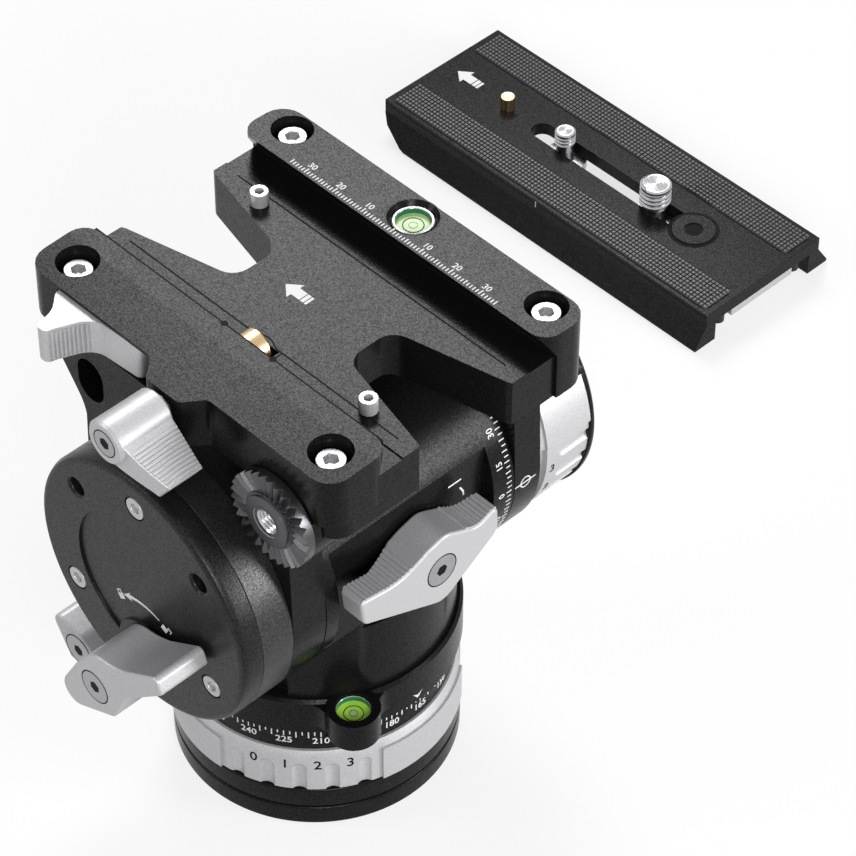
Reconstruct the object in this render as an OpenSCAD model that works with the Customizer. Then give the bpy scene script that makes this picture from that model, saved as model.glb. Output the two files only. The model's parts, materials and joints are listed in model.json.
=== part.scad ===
// Fluid video head: a pan base, a tilting cradle and a sliding camera plate.
// Origin: centre of the base underside, on the pan axis.
// +X runs along the tilt axis to the operator's right, +Y forward, +Z up.

/* [Base] */
// Radius of the base plate and its flange
base_r = 37.5; // [36:0.1:40]
// Thickness of the base plate
base_plate_h = 6.6; // [5.5:0.1:8]
// Height of the base housing's flange
base_flange_h = 7; // [6:0.1:9]
// Radius of the 3/8 inch tripod thread
tripod_thread_r = 4.7625; // [4.5:0.0125:5]
// Depth of the tripod thread
tripod_thread_depth = 11; // [9:0.1:12]
// Radius of the steel thread bush
bush_r = 9; // [8:0.1:10]
// Radius of the base screw circle
base_screw_circle_r = 24; // [20:0.1:26]

/* [Pan] */
// Radius of the pan shaft
pan_shaft_r = 12; // [10:0.1:13]
// Radius of the journal that the pan drag ring turns on
journal_r = 31; // [30:0.1:33]
// Height of the pan drag ring
drag_ring_h = 13.8; // [12:0.1:16]
// Radius of the drag ring in its fluted windows
drag_ring_r = 37.4; // [36.5:0.1:38.5]
// How far the grip pads of both drag rings stand out
pad_rise = 0.8; // [0.4:0.1:1.4]
// Number of grip pads round each drag ring
pad_count = 3; // [2:1:4]
// Angle of each fluted window between pads
window_angle = 66; // [50:1:80]
// Flutes in each window
flutes_per_window = 5; // [3:1:5]
// Angle between flutes, which is also one step of drag
flute_step = 12.8; // [10:0.1:13]
// Radius of each flute's round bottom
flute_r = 2.2; // [1.6:0.1:2.6]
// Height of the degree scale ring
scale_h = 8; // [6:0.1:10]
// Radius of the degree scale ring
scale_r = 36; // [34:0.1:37]
// Radius of the turning skirt
skirt_r = 38; // [37.5:0.1:40]
// Height of the turning skirt
skirt_h = 11.8; // [10:0.1:14]
// Radius of the neck above the skirt
neck_r = 36.4; // [34.5:0.1:37]
// Distance of the pan bubble from the pan axis
pan_bubble_dist = 41.2; // [41:0.1:41.4]
// Direction of the pan bubble, in degrees from +X
pan_bubble_angle = 240.9; // [230:0.1:250]
// Height of the pan bubble's ear
pan_ear_h = 8.7; // [7:0.1:10]

/* [Tilt] */
// Height of the tilt axis over the base underside
tilt_z = 89.1; // [88:0.1:95]
// Radius of the barrel, the arms and the drum
barrel_r = 37; // [35:0.1:38]
// Left end of the barrel
barrel_left = -29; // [-31:0.1:-28]
// Right end of the barrel
barrel_right = 33.8; // [33:0.1:36]
// Radius of the tilt axle
axle_r = 10; // [8:0.1:11]
// Wall of the plain bushes in the arms
bush_wall = 3; // [2:0.1:4]
// Radius of the barrel's chamber
chamber_r = 20; // [18:0.1:20.5]
// Thickness of the left arm
left_arm_t = 10.4; // [9:0.1:12]
// Thickness of the right arm
right_arm_t = 8.8; // [8:0.1:10]
// Length of the left drum
drum_len = 9.6; // [9:0.1:14]
// Thickness of the left end disc
disc_t = 6.2; // [5:0.1:8]
// Distance of the end disc's screws from the tilt axis
disc_screw_dist = 28.4; // [27.5:0.1:30]
// Length of the tilt drag knob
tilt_knob_len = 17.6; // [15:0.1:20]
// Thickness of the tilt knob's end cap
knob_cap_t = 2.5; // [2:0.1:4]
// Depth of the flat behind the counterbalance lever
flat_depth = 3.6; // [2.5:0.1:4.5]

/* [Platform] */
// Height of the rails' top over the tilt axis
platform_h = 63.9; // [62:0.1:68]
// Half the length of the platform
platform_half_len = 52.8; // [50:0.1:58]
// Centre line of the plate channel
channel_x = 2; // [1:0.1:3]
// Width of the channel between the rails' top edges
channel_w = 49; // [47:0.1:50]
// Depth of the channel
channel_depth = 7; // [6.5:0.1:8]
// Overhang of each dovetail rail
dovetail_run = 4.3; // [3:0.1:5]
// Thickness of the platform under the channel
platform_t = 13.5; // [12:0.1:14]
// Height of the left rail
left_rail_h = 15; // [14.5:0.1:15.5]
// Distance of the notches' bottoms from the middle
notch_bottom = 19.6; // [18.5:0.1:24]
// Radius of the notches' bottoms
notch_r = 7; // [6:0.1:8]
// Half angle of the notches
notch_angle = 15; // [8:1:16]
// Distance of the platform screws from the middle
platform_screw_y = 43.8; // [42:0.1:45]
// Radius of the platform's bubble recess
bubble_recess_r = 6.8; // [6:0.1:7]

/* [Handle rosette] */
// Radius of the toothed rosette
rosette_r = 13.6; // [12:0.1:14]
// Number of teeth
rosette_teeth = 30; // [20:1:36]
// Depth of the teeth
tooth_depth = 1.4; // [0.8:0.1:1.8]
// Radius of the handle screw's threaded hole
handle_thread_r = 3.4; // [3:0.1:4]
// Distance of the rosette behind the tilt axis
rosette_back = 35.4; // [34:0.1:37]
// Height of the rosette over the tilt axis
rosette_up = 43.5; // [42:0.1:45]

/* [Levers] */
// Long wing of the counterbalance lever
wing_long = 30; // [26:0.1:30.4]
// Short wing of the counterbalance lever
wing_short = 18.9; // [15:0.1:20]
// Width of the tilt lock over its hub
lock_hub_w = 15.7; // [14:0.1:18]
// Width of the counterbalance lever over its hub
balance_hub_w = 22.6; // [20:0.1:23]
// Width of the counterbalance lever at its tips
wing_tip_w = 7; // [5:0.1:7.5]
// Long wing of the tilt lock
lock_wing = 32.4; // [28:0.1:34]
// Short end of the tilt lock
lock_tail = 20.4; // [17:0.1:21]
// Size of the pan lock against the tilt lock
pan_lock_share = 0.72; // [0.65:0.01:0.8]
// Radius of the gull levers' studs
lever_stud_r = 3; // [2.5:0.1:3.5]
// Thickness of the tilt lock knob
tilt_lock_t = 15; // [12:0.1:16]
// Distance of the tilt lock below the tilt axis
tilt_lock_drop = 21.9; // [20:0.1:23]
// Thickness of the counterbalance lever
balance_lever_t = 10.8; // [9:0.1:11.5]
// Thickness of the pan lock lever
pan_lock_t = 11; // [9:0.1:12]
// Forward place of the pan lock lever
pan_lock_y = 29.2; // [28:0.1:31]
// Length of the clamp lever's hub
clamp_hub_len = 16; // [14:0.1:18]
// Radius of the clamp lever's hub
clamp_hub_r = 6; // [5:0.1:7]
// Reach of the clamp lever's wing
clamp_wing = 17; // [14:0.1:18]
// How far the clamp lever's wing starts from the hub's outer end
clamp_wing_inset = 4.4; // [3:0.1:6]
// Radius of the clamp screw
clamp_screw_r = 3; // [2.5:0.1:3.5]
// Radius of the brass clamp plunger
plunger_r = 4.4; // [4:0.1:4.6]
// Height of the release lever
release_h = 10; // [8:0.1:10.5]
// Reach of the release lever's thumb tab
release_reach = 11.6; // [9:0.1:13]

/* [Camera plate] */
// Length of the camera plate
plate_len = 134; // [125:0.5:140]
// Width of the camera plate's foot
plate_w = 57; // [55:0.1:57.4]
// Width of the camera plate's top
plate_top_w = 48.4; // [46:0.1:48.8]
// Height of the camera plate
plate_h = 11.7; // [11:0.1:13]
// Thickness of the camera plate's deck
deck_t = 4.4; // [3.5:0.1:5]
// Width of the slot for the camera screws
slot_w = 7; // [6.8:0.1:8]
// Radius of the 1/4 inch camera screw
quarter_r = 3.175; // [3.1:0.025:3.3]
// Radius of the 3/8 inch camera screw
three_eighth_r = 4.7625; // [4.7:0.0125:4.9]
// Sideways place of the plate laid beside the head
plate_x = 200.2; // [180:0.1:220]
// Forward place of the plate laid beside the head
plate_y = 91.8; // [75:0.1:110]

/* [Fits] */
// Gap between parts that pass without touching
run_gap = 0.3; // [0.25:0.05:0.5]
// Radial clearance of a running fit
running_fit = 0.05; // [0.02:0.01:0.09]
// Radial clearance of a fixed fit
fixed_fit = 0.02; // [0.01:0.01:0.05]

/* [Hidden] */

$fn = 64;
BLACK = "#1c1c1e";
SILVER = "#c4c5c9";
STEEL = "#9fa1a5";
BRASS = "#b08d4c";
LIME = "#9ad33c";
far = 200;

// Heights of the pan stack, from the base underside up
flange_top = base_plate_h + base_flange_h;
ring_z = flange_top + run_gap;
scale_z = ring_z + drag_ring_h + run_gap;
scale_top = scale_z + scale_h;
skirt_z = scale_top + run_gap;
skirt_top = skirt_z + skirt_h;
ear_top = skirt_top + 0.4;
shaft_z = flange_top + 1;
shoulder_z = skirt_top + 9;
nut_h = 5.5;
nut_r = pan_shaft_r + 4.5;
washer_h = 1.2;
washer_inner_r = pan_shaft_r + 2;
washer_r = pan_shaft_r + 14;
washer_room = 1;
journal_wall = 3;
shaft_wall = 3;
chamber_floor = 2;
bush_h = tripod_thread_depth + 1.5;
base_screw_r = 2;
base_screw_head_r = 3.5;
base_screw_head_h = 4;
base_screw_len = base_plate_h + 4;
edge = 0.8;

// Places along the tilt axis
left_arm_x = barrel_left - run_gap - left_arm_t;
drum_x = left_arm_x - drum_len;
disc_x = drum_x - disc_t;
right_arm_x = barrel_right + run_gap;
knob_x = right_arm_x + right_arm_t + run_gap;
knob_end = knob_x + tilt_knob_len;
flange_t = 4;
brake_t = 3;
drum_cavity_r = 25.5;
drum_floor = 2;
disc_screw_r = 1.5;
disc_screw_head_r = 3;
disc_screw_head_h = 2.2;
disc_screw_len = 10;
accessory_hole_r = 2.5;
accessory_hole_rim = 0.6;
disc_edge = 2;
accessory_hole_y = 21.9;
accessory_hole_up = 19.5;
accessory_hole_depth = 4.5;
flat_y = -(barrel_r - flat_depth);
flat_rim = 4;
scale_rim = 7;
flat_down = 18;
flat_up = 15.9;
chamber_wall = 6;
drag_len = 20;

// Heights and outlines of the platform
platform_left = left_arm_x - 1.9;
platform_right = right_arm_x + right_arm_t - 1.1;
rail_top = tilt_z + platform_h;
floor_z = rail_top - channel_depth;
platform_z = floor_z - platform_t;
rail_z = rail_top - left_rail_h;
left_lip = channel_x - channel_w / 2;
right_lip = channel_x + channel_w / 2;
left_root = left_lip - dovetail_run;
right_root = right_lip + dovetail_run;
floor_pad_left = channel_x - 20;
floor_pad_right = channel_x + 19.3;
floor_pad_step = 0.4;
floor_short = 1;
rail_end_r = 5;
corner_r = 6;
balance_gap = 0.8;
balance_rear = flat_y - balance_gap - balance_lever_t;
arch_r = norm([balance_rear, 17]) + 0.6;
clamp_y = -2.4;
clamp_z = rail_top - 5.8;
block_reach = 5.4;
block_half = 5.6;
block_run = 4.2;
slot_front = 41;
slot_back = 9;
slot_depth = 6.4;
release_top = rail_top - 1.8;
release_pin_r = 1.5;
tab_y = 33.6;
tab_w = 3.6;
release_pin_y = 15;
release_pin_x = platform_left + 3.4;
screw_head_r = 3.6;
screw_head_h = 2.8;
screw_shank_r = 1.75;
screw_rim_r = 5.4;
left_screw_x = platform_left + 8.8;
right_screw_x = right_arm_x + 1.9;
left_seat = rail_top - 7.6;
right_seat = rail_top - 6;
screw_reach = 5;
flare_y = platform_half_len - 1;
flare_drop = 16;
pin_r = 2.35;
pin_h = 4;
pin_shank_r = 1.5;
pin_shank_h = 7;
pin_x = 15;
pin_y = 35.1;
bubble_x = right_lip + 8.5;
vial_r = 4.8;
pan_vial_r = 4.6;
vial_h = 3;
rosette_t = 3;
rosette_x = platform_left - 0.4;
boss_t = 8;

// Places of the levers and studs
tilt_lock_z = tilt_z - tilt_lock_drop;
tilt_lock_gap = 1;
tilt_lock_turn = 141.6;
pan_lock_z = skirt_z + 6.7;
pan_lock_boss_r = 5;
pan_lock_boss_x = -42;
pan_lock_turn = 223;
pan_lock_tail = 9.5;
pan_lock_depth = 15;
balance_x = 1.3;
balance_rise = 10.6;
balance_depth = 13;
balance_relief_y = -barrel_r - run_gap - 0.1;
balance_relief_reach = balance_x - barrel_left - flat_rim - 3.5;
cap_r = 4.6;
cap_h = 2;
hex_r = 1.6;
clamp_gap = 1.5;
clamp_turn = 216;
plunger_len = 14;
plunger_out = 4.6;
stud_gap = 0.45;

// Sizes of the camera plate
plate_foot_h = 0.8;
plate_slope_top = channel_depth + 0.2;
plate_hollow_w = 40;
front_chamfer = 8;
slot_front_y = 23.3;
slot_back_y = -31;
plate_cap_r = 7.7;
plate_cap_h = 1.2;
cap_y = -39;
pad_t = 0.6;
pad_margin = 1.6;
pad_gap = 4.1;
pad_w = plate_top_w / 2 - pad_margin - plate_cap_r - pad_gap;
pad_short = 2.4;
quarter_y = 14;
quarter_rise = 6;
three_eighth_y = -23.3;
three_eighth_rise = 8.4;
video_pin_y = 38.4;
video_pin_r = 2.2;
video_pin_h = 4.5;
video_pin_flange = 1.4;
video_pin_flange_t = 1.6;
screw_head_t = 2.6;
screw_neck_gap = 0.8;
flute_depth = 1.1;
flute_stop = 6;
knob_step = 3;
step_depth = 1.4;
tilt_knob_turn = 243;
key_w = 26;
key_len = 12;
key_t = 3;
key_inset = 0.3;
stop_x = 16;
stop_r = 2;
stop_h = 4;
stop_inset = 3;

// Outline with its corners rounded: each point is [x, y, corner radius]
function rounded(points, steps = 5) = [
    for (i = [0:len(points) - 1])
        let (
            n = len(points),
            here = [points[i][0], points[i][1]],
            before = points[(i + n - 1) % n],
            after = points[(i + 1) % n],
            r = points[i][2],
            to_a = [before[0], before[1]] - here,
            to_b = [after[0], after[1]] - here,
            a = to_a / norm(to_a),
            b = to_b / norm(to_b),
            half = acos(max(-1, min(1, a * b))) / 2,
            middle = here + (a + b) / norm(a + b) * r / sin(half),
            start = here + a * r / tan(half) - middle,
            turn = 180 - 2 * half,
            side = sign(a[0] * b[1] - a[1] * b[0])
        )
        each r == 0 ? [here] : [
            for (k = [0:steps])
                let (t = -side * turn * k / steps)
                middle + [start[0] * cos(t) - start[1] * sin(t), start[0] * sin(t) + start[1] * cos(t)]
        ]
];

// Outline of the counterbalance lever: a hump over the stud and two wings that lift towards their tips
module balance_outline() {
    rise = balance_rise;
    half = balance_hub_w / 2;
    polygon(rounded([
        [-wing_long, rise, 2], [-wing_long + 0.6, rise - wing_tip_w, 3], [0.4, -half - 1, 8],
        [wing_short, rise - wing_tip_w - 1.6, 4], [wing_short - 0.5, rise - 0.4, 2],
        [wing_short * 0.46, rise * 0.62, 8], [-2, half + 2.3, 7], [-wing_long * 0.383, rise * 0.68, 10],
        [-wing_long * 0.667, rise * 0.66, 20]]));
}

// Outline of a lock lever: a wide hub, a slender wing along +X and a blunt short end
module lock_outline(wing, tail, w) {
    polygon(rounded([
        [wing, -w * 0.2, w * 0.09], [wing - w * 0.06, w * 0.13, w * 0.09], [wing * 0.53, w * 0.15, w * 1.2],
        [w * 0.19, w * 0.6, w * 0.5], [-tail * 0.4, w * 0.55, w * 0.5], [-tail, w * 0.36, w * 0.16],
        [-tail + w * 0.22, w * 0.03, w * 0.25], [-w * 0.19, -w * 0.5, w * 0.5], [w * 0.64, -w * 0.28, w * 1.2]]));
}

// Extrusion along +X of an outline drawn in Y and Z
module along_x(from, to) {
    translate([from, 0, 0]) rotate([90, 0, 90]) linear_extrude(to - from) children();
}

// Extrusion along Y of an outline drawn in X and Z
module along_y(from, to) {
    translate([0, to, 0]) rotate([90, 0, 0]) linear_extrude(to - from) children();
}

// Round bar along +X
module bar_x(from, to, r, y = 0, z = tilt_z) {
    translate([from, y, z]) rotate([0, 90, 0]) cylinder(h = to - from, r = r);
}

// Round bar along +Y
module bar_y(from, to, r, x = 0, z = tilt_z) {
    translate([x, from, z]) rotate([-90, 0, 0]) cylinder(h = to - from, r = r);
}

// Round bar along +Z
module bar_z(from, to, r, x = 0, y = 0) {
    translate([x, y, from]) cylinder(h = to - from, r = r);
}

// Socket screw standing on its tip, with its head's underside at z = 0
module socket_screw(head_r, head_h, shank_r, shank_len) {
    difference() {
        union() {
            cylinder(h = head_h, r = head_r);
            translate([0, 0, -shank_len]) cylinder(h = shank_len + 0.1, r = shank_r);
        }
        translate([0, 0, head_h * 0.4]) cylinder(h = head_h, r = head_r * 0.52, $fn = 6);
    }
}

// Places of the three base screws
module base_screw_places() {
    for (k = [0:2]) rotate(k * 120 + 30) translate([base_screw_circle_r, 0, 0]) children();
}

// Flat bottom plate
module base_plate() {
    color(BLACK) difference() {
        rotate_extrude() polygon([
            [bush_r + fixed_fit, 0], [base_r - edge, 0], [base_r, edge], [base_r, base_plate_h - edge / 2],
            [base_r - edge / 2, base_plate_h], [bush_r + fixed_fit, base_plate_h]]);
        base_screw_places() {
            bar_z(-1, base_screw_head_h + 0.4, base_screw_head_r + run_gap);
            bar_z(-1, base_plate_h + 1, base_screw_r + fixed_fit);
        }
    }
}

// Screws that hold the base plate to the housing
module base_screws() {
    color(STEEL) base_screw_places() translate([0, 0, base_screw_head_h + 0.4]) mirror([0, 0, 1])
        socket_screw(base_screw_head_r, base_screw_head_h, base_screw_r, base_screw_len - base_screw_head_h);
}

// Steel bush with the tripod thread
module tripod_bush() {
    color(STEEL) rotate_extrude() polygon([
        [tripod_thread_r, 0], [bush_r, 0], [bush_r, bush_h], [0, bush_h],
        [0, tripod_thread_depth], [tripod_thread_r, tripod_thread_depth]]);
}

// Base housing: the groove, the flange and the drag ring's journal
module base_housing() {
    groove = 0.8;
    chamber_z = flange_top + chamber_floor;
    color(BLACK) difference() {
        rotate_extrude() polygon([
            [0, base_plate_h], [base_r - groove, base_plate_h], [base_r - groove, base_plate_h + groove],
            [base_r, base_plate_h + groove], [base_r, flange_top - edge / 2], [base_r - edge / 2, flange_top],
            [journal_r, flange_top], [journal_r, scale_z], [0, scale_z]]);
        bar_z(-1, bush_h, bush_r + fixed_fit);
        bar_z(shaft_z, scale_z + 1, pan_shaft_r + fixed_fit);
        difference() {
            bar_z(chamber_z, scale_z + 1, journal_r - journal_wall);
            bar_z(chamber_z - 1, scale_z + 2, pan_shaft_r + shaft_wall);
        }
        base_screw_places() bar_z(base_plate_h - 1, base_screw_len + 1.2, base_screw_r + fixed_fit);
    }
}

// Fluid drag unit of the pan axis
module pan_drag_unit() {
    chamber_z = flange_top + chamber_floor;
    color(STEEL) difference() {
        bar_z(chamber_z, scale_z - run_gap, journal_r - journal_wall - run_gap);
        bar_z(chamber_z - 1, scale_z + 1, pan_shaft_r + shaft_wall + run_gap);
    }
}

// Fixed degree scale ring
module pan_scale_ring() {
    color(BLACK) rotate_extrude() polygon([
        [pan_shaft_r + fixed_fit, scale_z], [scale_r, scale_z], [scale_r, scale_top - edge / 2],
        [scale_r - edge / 2, scale_top], [pan_shaft_r + fixed_fit, scale_top]]);
}

// Pan shaft, fixed in the base
module pan_shaft() {
    color(STEEL) bar_z(shaft_z, shoulder_z + run_gap + nut_h + 0.6, pan_shaft_r);
}

// Nut that keeps the pan body on its shaft
module pan_nut() {
    nut_z = shoulder_z + run_gap;
    color(STEEL) difference() {
        bar_z(nut_z, nut_z + nut_h, nut_r);
        bar_z(nut_z - 1, nut_z + nut_h + 1, pan_shaft_r + fixed_fit);
    }
}

// Thrust washer between the scale ring and the pan body
module thrust_washer() {
    color(BRASS) difference() {
        bar_z(scale_top, scale_top + washer_h, washer_r);
        bar_z(scale_top - 1, scale_top + washer_h + 1, washer_inner_r);
    }
}

// Sector of a ring, centred on +X
module ring_sector(h, inner, outer, angle) {
    rotate(-angle / 2) rotate_extrude(angle = angle) translate([inner, 0]) square([outer - inner, h]);
}

// Drag ring lying on its face at z = 0: windows with flutes between raised pads
module drag_ring_solid(h, r, bore, flute_from, flute_to, step = 0) {
    difference() {
        union() {
            rotate_extrude() polygon([
                [bore, 0], [r, 0], [r, h - 2], [r - 1.2, h], [bore, h]]);
            for (k = [0:pad_count - 1]) rotate((k + 0.5) * 360 / pad_count)
                ring_sector(h - 2.4, r - 1, r + pad_rise, 360 / pad_count - window_angle);
        }
        for (w = [0:pad_count - 1], k = [0:flutes_per_window - 1])
            rotate(w * 360 / pad_count + (k - (flutes_per_window - 1) / 2) * flute_step)
                translate([r + flute_r - flute_depth, 0, 0]) {
                    bar_z(flute_from, flute_to, flute_r);
                    translate([0, 0, flute_to]) sphere(flute_r);
                }
        if (step > 0) for (w = [0:pad_count - 1]) rotate(w * 360 / pad_count) translate([0, 0, h - step])
            ring_sector(step + 1, r - step_depth, r + 2, window_angle);
    }
}

// Silver ring that sets the pan drag
module pan_drag_ring() {
    color(SILVER) translate([0, 0, ring_z]) rotate(229)
        drag_ring_solid(drag_ring_h, drag_ring_r, journal_r + running_fit, -1, drag_ring_h - flute_stop);
}

// Turning body: skirt with the bubble's ear, neck and barrel
module pan_body() {
    ear = [pan_bubble_dist * cos(pan_bubble_angle), pan_bubble_dist * sin(pan_bubble_angle)];
    ear_r = pan_vial_r + 2.2;
    color(BLACK) difference() {
        union() {
            rotate_extrude() polygon([
                [0, skirt_z], [skirt_r - edge / 2, skirt_z], [skirt_r, skirt_z + edge / 2],
                [skirt_r, skirt_top - edge], [skirt_r - edge, skirt_top], [0, skirt_top]]);
            intersection() {
                bar_z(skirt_top - 1, tilt_z, neck_r);
                translate([barrel_left, -far / 2, 0]) cube([barrel_right - barrel_left, far, far]);
            }
            bar_x(barrel_left, barrel_right, barrel_r);
            bar_z(ear_top - pan_ear_h, ear_top, ear_r, ear[0], ear[1]);
            bar_x(pan_lock_boss_x, 0, pan_lock_boss_r, pan_lock_y, pan_lock_z);
        }
        bar_z(skirt_z - 1, shoulder_z + 1, pan_shaft_r + running_fit);
        bar_z(shoulder_z, shoulder_z + nut_h + 2, nut_r + 1);
        bar_z(skirt_z - 1, scale_top + washer_h + running_fit, washer_r + washer_room);
        bar_x(barrel_left - 1, barrel_right - chamber_wall, chamber_r);
        bar_x(barrel_left - 1, barrel_right + 1, axle_r + fixed_fit);
        translate([barrel_left + flat_rim, flat_y - far, tilt_z - flat_down])
            cube([barrel_right - scale_rim - barrel_left - flat_rim, far, flat_down + flat_up]);
        bar_y(-barrel_r, -barrel_r + balance_depth + 1, lever_stud_r + running_fit, balance_x);
        bar_x(pan_lock_boss_x - 1, pan_lock_boss_x + pan_lock_depth + 1, lever_stud_r + running_fit,
            pan_lock_y, pan_lock_z);
        bar_z(ear_top - vial_h - 0.8, ear_top + 1, pan_vial_r + fixed_fit, ear[0], ear[1]);
    }
}

// Bubble level in the pan body's ear
module pan_bubble() {
    ear = [pan_bubble_dist * cos(pan_bubble_angle), pan_bubble_dist * sin(pan_bubble_angle)];
    color(LIME) bar_z(ear_top - vial_h - 0.8, ear_top - 0.8, pan_vial_r, ear[0], ear[1]);
}

// Tilt axle, fixed in the barrel
module tilt_axle() {
    color(STEEL) bar_x(drum_x + 3, knob_end - 2, axle_r);
}

// Brake disc on the axle, inside the left drum
module brake_disc() {
    color(STEEL) difference() {
        bar_x(left_arm_x - drum_floor - run_gap - brake_t, left_arm_x - drum_floor - run_gap,
            drum_cavity_r - 0.8);
        bar_x(drum_x - 1, left_arm_x + 1, axle_r + fixed_fit);
    }
}

// Flange that closes the barrel's chamber
module barrel_flange() {
    color(STEEL) difference() {
        bar_x(barrel_left, barrel_left + flange_t, chamber_r - fixed_fit);
        bar_x(barrel_left - 1, barrel_left + flange_t + 1, axle_r + fixed_fit);
    }
}

// Fluid drag unit of the tilt axis
module tilt_drag_unit() {
    to = barrel_right - chamber_wall;
    from = to - drag_len;
    color(STEEL) difference() {
        bar_x(from, to, chamber_r - run_gap);
        bar_x(from - 1, barrel_right, axle_r + fixed_fit);
    }
}

// Spiral counterbalance spring round the axle
module counterbalance_spring() {
    turns = 3;
    wire = 1.2;
    inner = axle_r + wire / 2 + fixed_fit;
    pitch = (chamber_r - run_gap - wire - inner) / turns;
    steps = 24 * turns;
    spiral = [for (k = [0:steps]) [360 * turns * k / steps, inner + pitch * turns * k / steps]];
    outer_side = [for (s = spiral) (s[1] + wire / 2) * [cos(s[0]), sin(s[0])]];
    inner_side = [for (k = [steps:-1:0]) (spiral[k][1] - wire / 2) * [cos(spiral[k][0]), sin(spiral[k][0])]];
    color(STEEL) translate([0, 0, tilt_z])
        along_x(barrel_left + flange_t + run_gap, barrel_right - chamber_wall - drag_len - run_gap)
            polygon(concat(outer_side, inner_side));
}

// Arm outline: half round below the tilt axis, straight to the platform above
module arm_outline() {
    top = platform_z;
    translate([0, tilt_z]) circle(r = barrel_r);
    polygon([[-barrel_r, tilt_z], [barrel_r, tilt_z], [barrel_r - 1.5, top], [-barrel_r + 1.5, top]]);
}

// Left arm, with the flared web at the front and the rosette's boss at the rear
module left_arm() {
    top = platform_z;
    web_y = barrel_r - 3.5;
    hole_r = 4.6;
    color(BLACK) difference() {
        union() {
            along_x(left_arm_x, left_arm_x + left_arm_t) {
                arm_outline();
                polygon(rounded([
                    [0, top - 30, 0], [barrel_r - 1, top - 30, 0], [barrel_r - 1, top - 18, 14],
                    [barrel_r + 12, top, 0], [0, top, 0]]));
            }
            intersection() {
                bar_x(rosette_x, rosette_x + boss_t, rosette_r - 1, -rosette_back, tilt_z + rosette_up);
                union() {
                    translate([-far, -far, 0]) cube([2 * far, 2 * far, top]);
                    translate([-far, -far, 0]) cube([far + left_arm_x, 2 * far, rail_z - run_gap]);
                }
            }
        }
        bar_x(left_arm_x - 1, barrel_left, axle_r + bush_wall + fixed_fit);
        along_x(left_arm_x - 1, barrel_left) {
            for (dz = [-2, 1.5]) translate([web_y, top - 7 + dz]) circle(r = hole_r);
            translate([web_y - hole_r, top - 9]) square([2 * hole_r, 3.5]);
        }
        bar_x(rosette_x - 1, left_arm_x, handle_thread_r, -rosette_back, tilt_z + rosette_up);
    }
}

// Right arm
module right_arm() {
    color(BLACK) difference() {
        along_x(right_arm_x, right_arm_x + right_arm_t) {
            arm_outline();
            polygon([[-flare_y, platform_z], [-barrel_r + 2, platform_z - flare_drop],
                [barrel_r - 2, platform_z - flare_drop], [flare_y, platform_z]]);
        }
        bar_x(right_arm_x - 1, knob_x, axle_r + bush_wall + fixed_fit);
        for (s = [-1, 1]) bar_z(platform_z - screw_reach, platform_z + 1, screw_shank_r + fixed_fit,
            right_screw_x, s * platform_screw_y);
    }
}

// Plain bushes that carry the arms on the axle
module tilt_bushes() {
    color(BRASS) for (span = [[left_arm_x, left_arm_t], [right_arm_x, right_arm_t]]) difference() {
        bar_x(span[0], span[0] + span[1], axle_r + bush_wall);
        bar_x(span[0] - 1, span[0] + span[1] + 1, axle_r + running_fit);
    }
}

// Left drum over the brake disc
module left_drum() {
    color(BLACK) difference() {
        bar_x(drum_x, left_arm_x, barrel_r);
        bar_x(drum_x - 1, left_arm_x - drum_floor, drum_cavity_r);
        bar_x(drum_x - 1, left_arm_x + 1, axle_r + bush_wall);
        disc_screw_places() bar_x(-1, disc_screw_len, disc_screw_r + fixed_fit, 0, 0);
    }
}

// Places of the end disc's three screws, on the disc's face
module disc_screw_places() {
    for (k = [0:2]) translate([disc_x, disc_screw_dist * cos(90 + 120 * k),
        tilt_z + disc_screw_dist * sin(90 + 120 * k)]) children();
}

// End disc with its shallow round panel and the tilt lock's seat
module end_disc() {
    panel_r = 22.5;
    panel_depth = 0.7;
    seat_r = 9.5;
    color(BLACK) difference() {
        translate([disc_x, 0, tilt_z]) rotate([0, 90, 0]) rotate_extrude() polygon([
            [0, 0], [barrel_r - disc_edge, 0], [barrel_r - disc_edge * 0.3, disc_edge * 0.3],
            [barrel_r, disc_edge], [barrel_r, disc_t], [0, disc_t]]);
        difference() {
            bar_x(disc_x - 1, disc_x + panel_depth, panel_r);
            bar_x(disc_x - 2, disc_x + 2, seat_r, 0, tilt_lock_z);
        }
        bar_x(disc_x - 1, drum_x + 1, lever_stud_r + running_fit, 0, tilt_lock_z);
        disc_screw_places() {
            bar_x(-1, disc_screw_head_h, disc_screw_head_r + run_gap, 0, 0);
            bar_x(-1, disc_t + 1, disc_screw_r + fixed_fit, 0, 0);
        }
        for (s = [-1, 1]) translate([disc_x, s * accessory_hole_y, tilt_z + accessory_hole_up])
            rotate([0, 90, 0]) {
                cylinder(h = accessory_hole_depth, r = accessory_hole_r);
                cylinder(h = accessory_hole_rim, r1 = accessory_hole_r + accessory_hole_rim, r2 = accessory_hole_r);
            }
    }
}

// Screws of the end disc
module end_disc_screws() {
    color(STEEL) disc_screw_places() translate([disc_screw_head_h, 0, 0]) rotate([0, -90, 0])
        socket_screw(disc_screw_head_r, disc_screw_head_h, disc_screw_r, disc_screw_len - disc_screw_head_h - 0.2);
}

// Outline of the platform from above, with its two notches
module platform_plan() {
    y = platform_half_len - floor_short;
    spread = notch_r * cos(notch_angle) + (y - notch_bottom - notch_r) * tan(notch_angle) + 1;
    foot = notch_r;
    difference() {
        polygon(rounded([
            [left_arm_x, -y, corner_r], [platform_right, -y, corner_r], [platform_right, y, corner_r],
            [left_arm_x, y, corner_r]]));
        for (s = [-1, 1]) translate([channel_x, 0]) scale([1, s]) polygon(rounded([
            [-spread - 8, y + 8, 0], [-spread, y - 0.4, 4.5], [-foot, notch_bottom, foot * 0.75],
            [foot, notch_bottom, foot * 0.75], [spread, y - 0.4, 4.5], [spread + 8, y + 8, 0]]));
    }
}

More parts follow.
